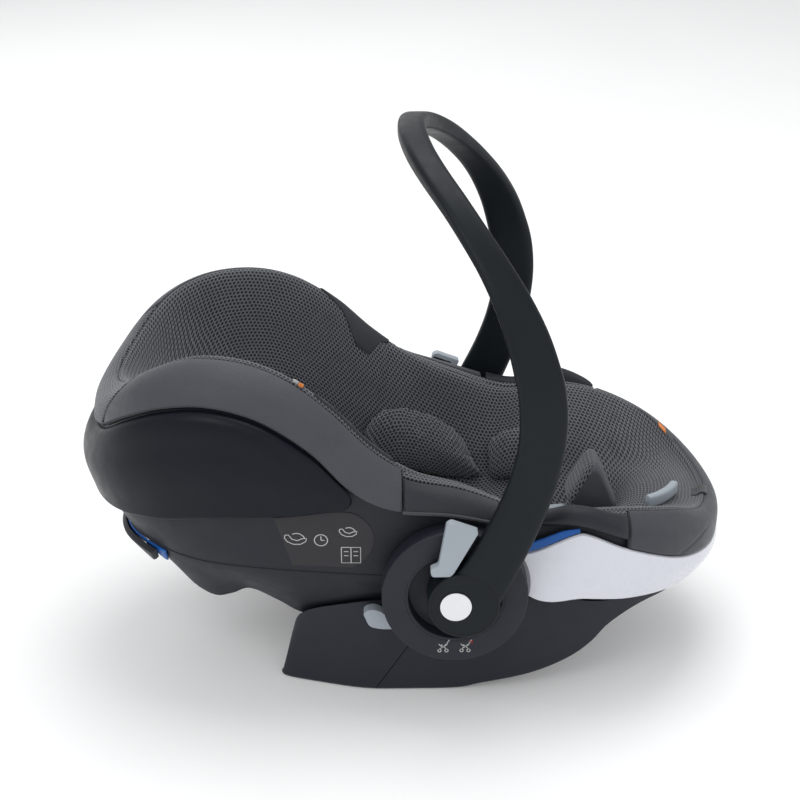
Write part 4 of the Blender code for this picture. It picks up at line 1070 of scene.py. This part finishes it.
def make_handle():
    path = handle_path()
    along = unit(np.gradient(path, axis=0))
    rows = []
    for point, way in zip(path, along):
        if point[2] > HANDLE_ARCH_Z:
            out = np.array([0, point[1] / HANDLE_HALF_WIDTH ** 2,
                            (point[2] - HANDLE_ARCH_Z) / HANDLE_ARCH_RISE ** 2])
        else:
            out = np.array([0, math.copysign(1.0, point[1]), 0])
        width_way = unit(np.cross(unit(out), way))
        thick_way = unit(np.cross(way, width_way))
        width = 0.5 * float(profile(HANDLE_WIDTH, point[2]))
        thickness = 0.5 * (0.0150 + 0.004 * float(smooth_step(0.46, 0.56, point[2])))
        angles = (np.arange(48) + 0.5) * math.tau / 48
        u = np.sign(np.cos(angles)) * np.abs(np.cos(angles)) ** 0.42 * width
        v = np.sign(np.sin(angles)) * np.abs(np.sin(angles)) ** 0.62 * thickness
        rows.append(point + width_way * u[:, None] + thick_way * v[:, None])
    handle = new_object("handle_bow", rows_mesh(rows, True, (True, True)), HANDLE, "handle",
                        50)
    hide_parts("carry_handle")
    for side, word in SIDES:
        inner, outer = (HUB_FLOOR + 0.0006) * side, (HANDLE_HALF_WIDTH + 0.0075) * side
        turned("handle_boss_" + word,
               softened([(0, inner), (0.0355, inner), (0.0355, outer), (0, outer)], 0.0022, 6),
               (HUB_X + 0.008, HUB_Z), HANDLE, "handle")
        # Deep-black ring on the boss face: painted shade of a groove, with no groove cut into the boss.
        turned("boss_groove_shade_" + word,
               [(0.0318, outer - 0.001 * side), (0.0326, outer - 0.001 * side),
                (0.0326, outer + 0.00005 * side), (0.0318, outer + 0.00005 * side)],
               (HUB_X + 0.008, HUB_Z), DARK, "handle")
        skin = HANDLE_HALF_WIDTH + 0.0075
        cap = turned("cap_disc_" + word,
                     softened([(0, (skin + 0.0002) * side), (0.0156, (skin + 0.0002) * side),
                               (0.0154, (skin + 0.0016) * side), (0, (skin + 0.0026) * side)],
                              0.0008, 5),
                     (HUB_X, HUB_Z), CAP, "handle")
        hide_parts("hub_cap_" + word)
        # Deep-black ring round the cap: painted shade of the gap between cap and boss.
        turned("cap_gap_shade_" + word,
               [(0.0158, (skin - 0.0005) * side), (0.0166, (skin - 0.0005) * side),
                (0.0166, (skin + 0.0004) * side), (0.0158, (skin + 0.0004) * side)],
               (HUB_X, HUB_Z), DARK, "handle")


WEDGE = [(0.041, 0.229), (0.046, 0.2315), (0.0725, 0.2215), (0.0485, 0.1760), (0.0450, 0.1725),
         (0.0270, 0.1725), (0.0255, 0.1810), (0.0335, 0.1840)]
LEAF = [(-0.040, 0.104), (-0.036, 0.108), (-0.029, 0.109), (-0.021, 0.106), (-0.012, 0.096),
        (-0.008, 0.086), (-0.022, 0.086), (-0.034, 0.089)]


def corner_rounded(outline, radius=0.0016, steps=5):
    points = np.array(outline, float)
    result = []
    for i, here in enumerate(points):
        before, after = points[i - 1], points[(i + 1) % len(points)]
        reach = min(radius, 0.4 * np.linalg.norm(before - here), 0.4 * np.linalg.norm(after - here))
        start, stop = here + unit(before - here) * reach, here + unit(after - here) * reach
        for t in np.linspace(0, 1, steps):
            result.append(tuple(start * (1 - t) ** 2 + 2 * here * t * (1 - t) + stop * t ** 2))
    return result


def make_hub(side, word):
    face = HUB_FACE
    outline = [(0.0083, HUB_BACK), (HUB_RADIUS, HUB_BACK), (HUB_RADIUS, face),
               (HUB_RECESS, face), (HUB_RECESS, HUB_FLOOR), (0.0083, HUB_FLOOR)]
    ring = turned("hub_ring_" + word, softened([(r, y * side) for r, y in outline], 0.0022, 6),
                  (HUB_X, HUB_Z), BASE, "seat", 192)
    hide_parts("hub_housing_" + word)
    bead = [(HUB_RECESS + 0.0030, face - 0.0004), (HUB_RECESS + 0.0036, face + 0.0003),
            (HUB_RECESS + 0.0042, face - 0.0004)]
    turned("hub_bead_" + word, [(r, y * side) for r, y in bead], (HUB_X, HUB_Z), BASE, "seat",
           160)
    low, high = sorted((0.2036 * side, 0.2134 * side))
    wedge = prism("wedge_button_" + word, corner_rounded(WEDGE, 0.0030), low, high, BUTTON, 0.0011,
                  "release_wedge_" + word)
    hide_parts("release_wedge_" + word)
    inside = 0.2034 * side
    for k in range(3):
        drop = 0.0040 + 0.0042 * k
        block("wedge_rib_%s_%d" % (word, k), (0.0530 - 0.15 * drop, inside, 0.2270 - drop),
              (0.021, 0.0014, 0.0018), 0.0004, DARK, "release_wedge_" + word, 20)
    low, high = sorted((0.1536 * side, 0.1664 * side))
    leaf = prism("pram_button_" + word, corner_rounded(LEAF, 0.0050, 8), low, high, BUTTON, 0.0013,
                 "stroller_button_" + word)
    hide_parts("stroller_button_" + word)


def draw_on_face(name, lines, place, material, body="seat", radius=0.0005, width=1.0):
    """Printed line drawing: polylines in local metres, mapped to a surface by place(a, b)."""
    mesh = bmesh.new()
    for line in lines:
        points = np.array([place(a, b) for a, b in line])
        spots, normals = points[:, 0], points[:, 1]
        along = unit(np.gradient(spots, axis=0))
        sideways = unit(np.cross(along, normals))
        left = spots + sideways * radius * width + normals * 0.00012
        right = spots - sideways * radius * width + normals * 0.00012
        under = spots - normals * 0.0001
        rows = [[mesh.verts.new(p) for p in row] for row in (left, right, under)]
        for a, b in ((0, 1), (1, 2), (2, 0)):
            for i in range(len(line) - 1):
                mesh.faces.new((rows[a][i], rows[a][i + 1], rows[b][i + 1], rows[b][i]))
        for i in (0, -1):
            mesh.faces.new((rows[0][i], rows[1][i], rows[2][i]))
    bmesh.ops.recalc_face_normals(mesh, faces=mesh.faces)
    return new_object(name, mesh, material, body)


def circle(a, b, radius, start=0, stop=360, count=25):
    return [(a + radius * math.cos(math.radians(d)), b + radius * math.sin(math.radians(d)))
            for d in np.linspace(start, stop, count)]


def straight(a0, b0, a1, b1, count=8):
    return [(a0 + (a1 - a0) * t, b0 + (b1 - b0) * t) for t in np.linspace(0, 1, count)]


def pram_icon(a, b, size=1.0):
    """Small pram: body, handle and two wheels."""
    s = size * MM
    lines = [circle(a - 2.4 * s, b - 4.2 * s, 1.1 * s), circle(a + 2.4 * s, b - 4.2 * s, 1.1 * s),
             straight(a - 2.6 * s, b - 3.2 * s, a + 2.4 * s, b + 1.0 * s),
             straight(a + 2.6 * s, b - 3.2 * s, a - 1.4 * s, b + 0.6 * s),
             circle(a, b + 2.2 * s, 3.0 * s, 200, 350), straight(a + 2.6 * s, b + 1.4 * s,
                                                                a + 4.4 * s, b + 4.4 * s)]
    return lines


def seat_icon(a, b, size=1.0):
    """Small seat shell in side view with its bow handle."""
    s = size * MM
    bowl_line = [(a + x * s, b + z * s) for x, z in
                 ((-7, 3.4), (-7.4, 1.2), (-5.6, -1.6), (-1.5, -3.6), (3.2, -3.4), (6.6, -1.2),
                  (7.2, 1.2), (4.2, 1.0), (1.0, -0.6), (-2.4, 0.4), (-4.8, 3.6), (-7, 3.4))]
    return [bowl_line, circle(a + 0.6 * s, b - 0.6 * s, 5.6 * s, 20, 120, 18)]


def make_hub_icons():
    for side, word in SIDES:
        def place(a, b):
            return ((HUB_X + a * side * -1 if side > 0 else HUB_X + a, (HUB_FACE + 0.00005) * side,
                     HUB_Z + b), (0, side, 0))
        draw_on_face("hub_icon_" + word, pram_icon(-0.0115, -0.0545, 1.45)
                     + pram_icon(0.0105, -0.0545, 1.45), place, INK, "seat", 0.00045)
        draw_on_face("hub_mark_" + word, [straight(0.0150, -0.0520, 0.0180, -0.0490),
                                          straight(0.0150, -0.0490, 0.0180, -0.0520)],
                     place, RED, "seat", 0.0004)


# ---------------------------------------------------------------- head end and labels
def make_head_end():
    guide = patch("head_belt_guide", BLUE, shell, 0.62, 1.0, always(-0.240), where="head",
                  across=16, along=120, radius=0.0010, thickness=-0.0016,
                  height=lambda points, u, v, ends, rims: 0.0040)
    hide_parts("rear_belt_channel")
    hook = patch("head_belt_hook", SHELL, shell, 0.64, 1.0, always(-0.248), where="head",
                 across=24, along=120, radius=0.0024, thickness=-0.0056,
                 height=lambda points, u, v, ends, rims: 0.0120)
    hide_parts("rear_belt_hook")


LABEL_LOW, LABEL_HIGH = 1.12, 1.90


def label_start(level):
    rise = (level - LABEL_LOW) / (LABEL_HIGH - LABEL_LOW)
    return -0.052 + 0.024 * math.sin(math.pi * min(max(rise, 0), 1)) ** 0.7


def label_end(level):
    return -0.110 - 0.018 * (level - LABEL_LOW) / (LABEL_HIGH - LABEL_LOW)


def make_labels():
    for side, word in SIDES:
        film = patch("care_film_" + word, LABEL, shell, LABEL_LOW, LABEL_HIGH, label_start,
                     label_end, side, across=30, along=60, radius=0.0003, thickness=0.0004,
                     height=lambda points, u, v, ends, rims: 0.0009)
        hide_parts("label_" + word)

        def place(x, z, side=side):
            """Point of the shell's side at (x, z) in side view."""
            level = 1.0 + (z - 0.149) / 0.072
            for _ in range(4):
                ring = shell.ring(level)
                column = place_at_x(ring, x)
                column = column if side > 0 else COLUMNS - column
                point, normal = shell.at(level, [column])
                level += (z - point[0][2]) / 0.072
            return point[0] + normal[0] * 0.0011, normal[0]

        art = seat_icon(-0.106, 0.190, 1.5) + seat_icon(-0.054, 0.199, 1.2)
        art += [circle(-0.081, 0.190, 0.0065), straight(-0.081, 0.190, -0.081, 0.1945),
                straight(-0.081, 0.190, -0.0775, 0.190)]
        art += [[(-0.0610, 0.182), (-0.0420, 0.182), (-0.0420, 0.163), (-0.0610, 0.163),
                 (-0.0610, 0.182)], straight(-0.0515, 0.182, -0.0515, 0.163),
                straight(-0.0585, 0.177, -0.0540, 0.177), straight(-0.0490, 0.177, -0.0445, 0.177),
                straight(-0.0585, 0.172, -0.0540, 0.172), straight(-0.0490, 0.172, -0.0445, 0.172)]
        draw_on_face("care_drawing_" + word, art, place, INK, "seat", 0.00052)


# ---------------------------------------------------------------- harness and soft insert
def floor_height(x):
    return float(profile(FLOOR_LINE, x)) + FLOOR_MIDDLE[3]


def strap(name, x_from, x_to, y_from, y_to, lift, width, thickness, material, replaces,
          crown=0.0, count=40, body="seat"):
    """Flat band along the seat floor with rounded edges."""
    rows = []
    for t in np.linspace(0, 1, count):
        x = x_from + (x_to - x_from) * t
        y = y_from + (y_to - y_from) * t
        slope = (floor_height(x + 0.003) - floor_height(x - 0.003)) / 0.006
        up = unit(np.array([-slope, 0.0, 1.0]))
        centre = np.array([x, y, floor_height(x) + lift])
        angles = np.arange(28) * math.tau / 28
        across = np.sign(np.cos(angles)) * np.abs(np.cos(angles)) ** 0.35 * 0.5 * width
        rise = 0.5 * thickness * np.sign(np.sin(angles)) * np.abs(np.sin(angles)) ** 0.5
        end = math.sqrt(max(1 - max(abs(2 * t - 1) - 0.92, 0) ** 2 / 0.0068, 0.02))
        swell = crown * np.sqrt(np.clip(1 - (2 * across / width) ** 2, 0, 1)) * (np.sin(angles) > 0)
        rows.append(centre + np.outer(across * (0.9 + 0.1 * end), [0, 1, 0])
                    + np.outer((rise + swell) * end + 0.5 * thickness, up))
    piece = new_object(name, rows_mesh(rows, True, (True, True)), material, body)
    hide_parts(replaces)
    return piece


def make_harness():
    for side, word in SIDES:
        strap("shoulder_web_" + word, -0.155, 0.020, 0.025 * side, 0.020 * side, 0.0030, 0.030,
              0.0015, STRAP, "shoulder_belt_" + word)
        strap("shoulder_pad_cover_" + word, -0.135, -0.040, 0.0250 * side, 0.0235 * side, 0.0058,
              0.040, 0.007, GREY, "shoulder_pad_" + word, 0.0022, 50, "seat")
        strap("tongue_plate_" + word, 0.0215, 0.0385, 0.0145 * side, 0.0125 * side, 0.0016, 0.020,
              0.0020, STEEL, "buckle_tongue_" + word)
    strap("buckle_pad_cover", 0.034, 0.100, 0, 0, 0.0050, 0.058, 0.004, GREY, "buckle_pad",
          0.0010, 50, "seat")
    strap("crotch_web", 0.103, 0.128, 0, 0, 0.0014, 0.036, 0.0015, STRAP, "crotch_strap")
    strap("adjuster_web", 0.131, 0.150, 0, 0, 0.0014, 0.025, 0.0015, STRAP, "adjuster_strap")
    height = floor_height(0.062)
    housing = block("buckle_housing", (0.068, 0, height + 0.0215), (0.052, 0.044, 0.016), 0.0055,
                    RUBBER, "seat")
    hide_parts("buckle_body")
    press = block("buckle_press", (0.068, 0, height + 0.0320), (0.026, 0.030, 0.0030), 0.0013,
                  RED, "buckle_button")
    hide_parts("buckle_button")
    # Deep-black plate on the buckle's front: painted shade inside the tongue slot, with no opening cut.
    block("buckle_slot_shade", (0.0428, 0, height + 0.0225), (0.0016, 0.034, 0.0042), 0.0005, DARK,
          "seat")
    height = floor_height(0.170)
    housing = block("adjuster_housing", (0.170, 0, height + 0.0085), (0.034, 0.040, 0.009), 0.0035,
                    RUBBER, "seat", -6)
    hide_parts("adjuster_body")
    press = block("adjuster_press", (0.170, 0, height + 0.0180), (0.018, 0.026, 0.005), 0.0022,
                  BUTTON, "adjuster_button", -6)
    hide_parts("adjuster_button")


def pad_on_seat(name, low, high, x_start, x_end, side, rise, replaces, material,
                body="seat", drop=None):
    """Closed pad lying on the liner, from two levels and two places in side view."""
    across, along = 36, 44
    points, normals, u, v, ends, rims = patch_grid(seat, low, high, always(x_start), always(x_end),
                                                   side, "side", across, along, drop)
    s = np.linspace(0, 1, across)[:, None]
    t = np.linspace(0, 1, along)[None, :]
    height = rise(s, t)
    top = points + normals * (0.0030 + height)[..., None]
    under = points + normals * 0.0022
    rows = [under[0]] + list(top) + [under[-1]]
    pattern = np.stack([u - u[:, -1:] * 0.5, v], axis=-1)
    mesh = rows_mesh(rows, weave=np.concatenate([pattern[:1], pattern, pattern[-1:]]))
    mesh.verts.ensure_lookup_table()
    total = across + 2
    for column_index in (0, along - 1):
        mesh.faces.new([mesh.verts[k * along + column_index] for k in range(total)])
    for i in range(along - 1):
        mesh.faces.new((mesh.verts[i + 1], mesh.verts[i], mesh.verts[(total - 1) * along + i],
                        mesh.verts[(total - 1) * along + i + 1]))
    bmesh.ops.recalc_face_normals(mesh, faces=mesh.faces)
    pad = new_object(name, mesh, material, body, 60)
    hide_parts(replaces)
    return pad


def pillow(height, power_s=2.4, power_t=2.6):
    def rise(s, t):
        full = np.clip(1 - np.abs(2 * s - 1) ** power_s, 0, 1) * np.clip(
            1 - np.abs(2 * t - 1) ** power_t, 0, 1)
        return height * np.sqrt(full)
    return rise


def domed(low, high, middle, reach, depth):
    """Level map that rounds off the top corners of a pad."""
    def drop(level, x):
        top = low + depth * min(abs((x - middle) / reach), 1.0) ** 2.6
        return top + (level - low) / (high - low) * (high - top)
    return drop


CROTCH_PAD = [(0.1960, 0.1270), (0.2060, 0.1290), (0.2170, 0.1385), (0.2330, 0.1510),
              (0.2290, 0.1640), (0.2220, 0.1810), (0.2125, 0.2030), (0.2060, 0.2080),
              (0.1990, 0.2040), (0.1860, 0.1820), (0.1770, 0.1640), (0.1790, 0.1530),
              (0.1905, 0.1420)]


CROTCH_PAD_DROP = 0.0060          # the pad sits this much lower than its CAD solid


def make_crotch_pad():
    """Upright wedge between the legs: smooth sides, air mesh towards the child."""
    outline = spaced(catmull([(x, 0, z) for x, z in CROTCH_PAD + CROTCH_PAD[:1]], 8), 73)[:-1]
    centre = outline.mean(axis=0)
    rows = []
    for y in np.linspace(-1, 1, 25):
        shrink = 0.93 - 0.20 * abs(y) ** 5
        row = centre + (outline - centre) * shrink
        row[:, 1] = y * 0.0255
        row[:, 2] -= CROTCH_PAD_DROP
        rows.append(row)
    mesh = rows_mesh(rows, True, (True, True), [[(0.0265 * y, 0.0019 * k) for k in range(72)]
                                                for y in np.linspace(-1, 1, 25)])
    pad = new_object("crotch_pad_cover", mesh, GREY, "seat", 60)
    pad.data.materials.append(MESH)
    for polygon in pad.data.polygons:
        polygon.material_index = 1 if polygon.normal.x < -0.45 else 0
    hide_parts("crotch_pad")


def make_insert():
    pads = []
    low, high = ROLL + 0.78, FLOOR - 0.05
    for side, word in SIDES:
        pads.append(pad_on_seat("hip_pad_" + word, low, high, 0.098, -0.045, side,
                                pillow(0.0120), "hip_bolster_" + word, MESH,
                                drop=domed(low, high, 0.026, 0.074, 0.75)))
        pads.append(pad_on_seat("thigh_pad_" + word, low, high, 0.158, 0.102, side,
                                pillow(0.0110), "thigh_bolster_" + word, MESH,
                                drop=domed(low, high, 0.130, 0.030, 0.40)))
    make_crotch_pad()
    return pads


def make_release_lever():
    rows = []
    for t in np.linspace(0, 1, 70):
        a = math.radians(-63 + 39 * t)
        end = math.sqrt(max(1 - max(abs(2 * t - 1) - 0.93, 0) ** 2 / 0.0050, 0.02))
        centre = np.array([0.222 + 0.074 * math.cos(a), 0.074 * math.sin(a), 0.1765])
        out = np.array([math.cos(a), math.sin(a), 0])
        angles = (np.arange(28) + 0.5) * math.tau / 28
        side = np.sign(np.cos(angles)) * np.abs(np.cos(angles)) ** 0.6 * 0.0045 * (0.5 + 0.5 * end)
        up = np.sign(np.sin(angles)) * np.abs(np.sin(angles)) ** 0.5 * 0.0070 * end
        rows.append(centre + np.outer(side, out) + np.outer(up, [0, 0, 1]))
    lever = new_object("lever_bar", rows_mesh(rows, True, (True, True)), BUTTON, "release_lever")
    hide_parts("release_lever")


def edge_tag(name, level, x, side, size, material, lift=0.0010, tilt=0.0):
    """Small woven tag sewn to the rim."""
    ring, _ = seat.frame(level)
    column = place_at_x(ring, x)
    point, normal = seat.at(level, [column if side > 0 else COLUMNS - column])
    block(name, point[0] + normal[0] * lift, size, 0.0005, material, "seat", tilt)


def make_tags():
    edge_tag("rim_tag_white", TOP - 0.02, -0.104, -1, (0.0060, 0.0022, 0.0030), INK, 0.0014, 32)
    edge_tag("rim_tag_orange", TOP - 0.04, -0.099, -1, (0.0050, 0.0024, 0.0034), ORANGE, 0.0014, 32)
    for name, material, x_start, x_end, rise in (("foot_tag_dark", BINDING, 0.304, 0.268, 0.0010),
                                                 ("foot_tag_orange", ORANGE, 0.297, 0.290, 0.0016)):
        patch(name, material, seat, TOP - 0.16, TOP + 0.20, always(x_start), always(x_end), 1,
              across=12, along=24, radius=0.0004, thickness=0.0010,
              height=lambda points, u, v, ends, rims, rise=rise: rise)
    patch("foot_strap", STRAP, seat, TOP - 0.30, ROLL + 0.30,
          lambda level: seat.ring(level)[0, 0] - 0.0004, lambda level: seat.ring(level)[0, 0] - 0.0032,
          -1, across=30, along=24, radius=0.0005, thickness=0.0010,
          height=lambda points, u, v, ends, rims: 0.0022)


SWELL_VOXEL = 0.0035
SWELL_PRESSURE = 4
SWELL_FRAMES = 20


def swell(pad, cap=0.006):
    """Fills a pad with cloth pressure, keeping every point within cap of where it was."""
    source = pad.data
    start = pad.copy()
    start.data = source.copy()
    bpy.context.scene.collection.objects.link(start)
    remesh = start.modifiers.new("remesh", "REMESH")
    remesh.mode = "VOXEL"
    remesh.voxel_size = SWELL_VOXEL
    graph = bpy.context.evaluated_depsgraph_get()
    base = bpy.data.meshes.new_from_object(start.evaluated_get(graph))
    start.modifiers.clear()
    start.data = base
    rest = np.array([vert.co[:] for vert in base.vertices])
    cloth = start.modifiers.new("cloth", "CLOTH")
    cloth.settings.use_pressure = True
    cloth.settings.uniform_pressure_force = SWELL_PRESSURE
    cloth.settings.effector_weights.gravity = 0
    cloth.settings.mass = 0.15
    for number in range(1, SWELL_FRAMES + 1):
        bpy.context.scene.frame_set(number)
    graph = bpy.context.evaluated_depsgraph_get()
    swollen = bpy.data.meshes.new_from_object(start.evaluated_get(graph))
    bpy.context.scene.frame_set(1)
    after = np.array([vert.co[:] for vert in swollen.vertices])
    move = after - rest
    length = np.linalg.norm(move, axis=1)[:, None]
    move *= np.minimum(1, cap / np.maximum(length, 1e-9))
    tree = BVHTree.FromPolygons([vert.co[:] for vert in source.vertices],
                                [list(face.vertices) for face in source.polygons])
    pattern = np.array([value.vector[:] for value in source.attributes["weave"].data])
    swollen.vertices.foreach_set("co", (rest + move).ravel())
    layer = swollen.attributes.new("weave", "FLOAT_VECTOR", "POINT")
    values = []
    for place in rest:
        face = source.polygons[tree.find_nearest(Vector(place))[2]]
        corners = [source.vertices[i].co for i in face.vertices]
        weights = np.array([1 / ((Vector(place) - corner).length + 1e-6) for corner in corners])
        values.append((pattern[list(face.vertices)] * weights[:, None]).sum(0) / weights.sum())
    layer.data.foreach_set("vector", np.array(values).ravel())
    swollen.materials.clear()
    swollen.materials.append(source.materials[0])
    for polygon in swollen.polygons:
        polygon.use_smooth = True
    bpy.data.objects.remove(start)
    pad.data = swollen
    finer = pad.modifiers.new("finer", "SUBSURF")
    finer.levels = finer.render_levels = 1


make_stage()
make_shell()
make_liner()
make_cover()
make_head_panel()
make_foot_trim()
make_base()
make_handle()
for hub_side, hub_word in SIDES:
    make_hub(hub_side, hub_word)
make_hub_icons()
make_head_end()
make_labels()
make_harness()
soft_pads = make_insert()
make_release_lever()
make_tags()
for soft_pad in soft_pads:
    swell(soft_pad)
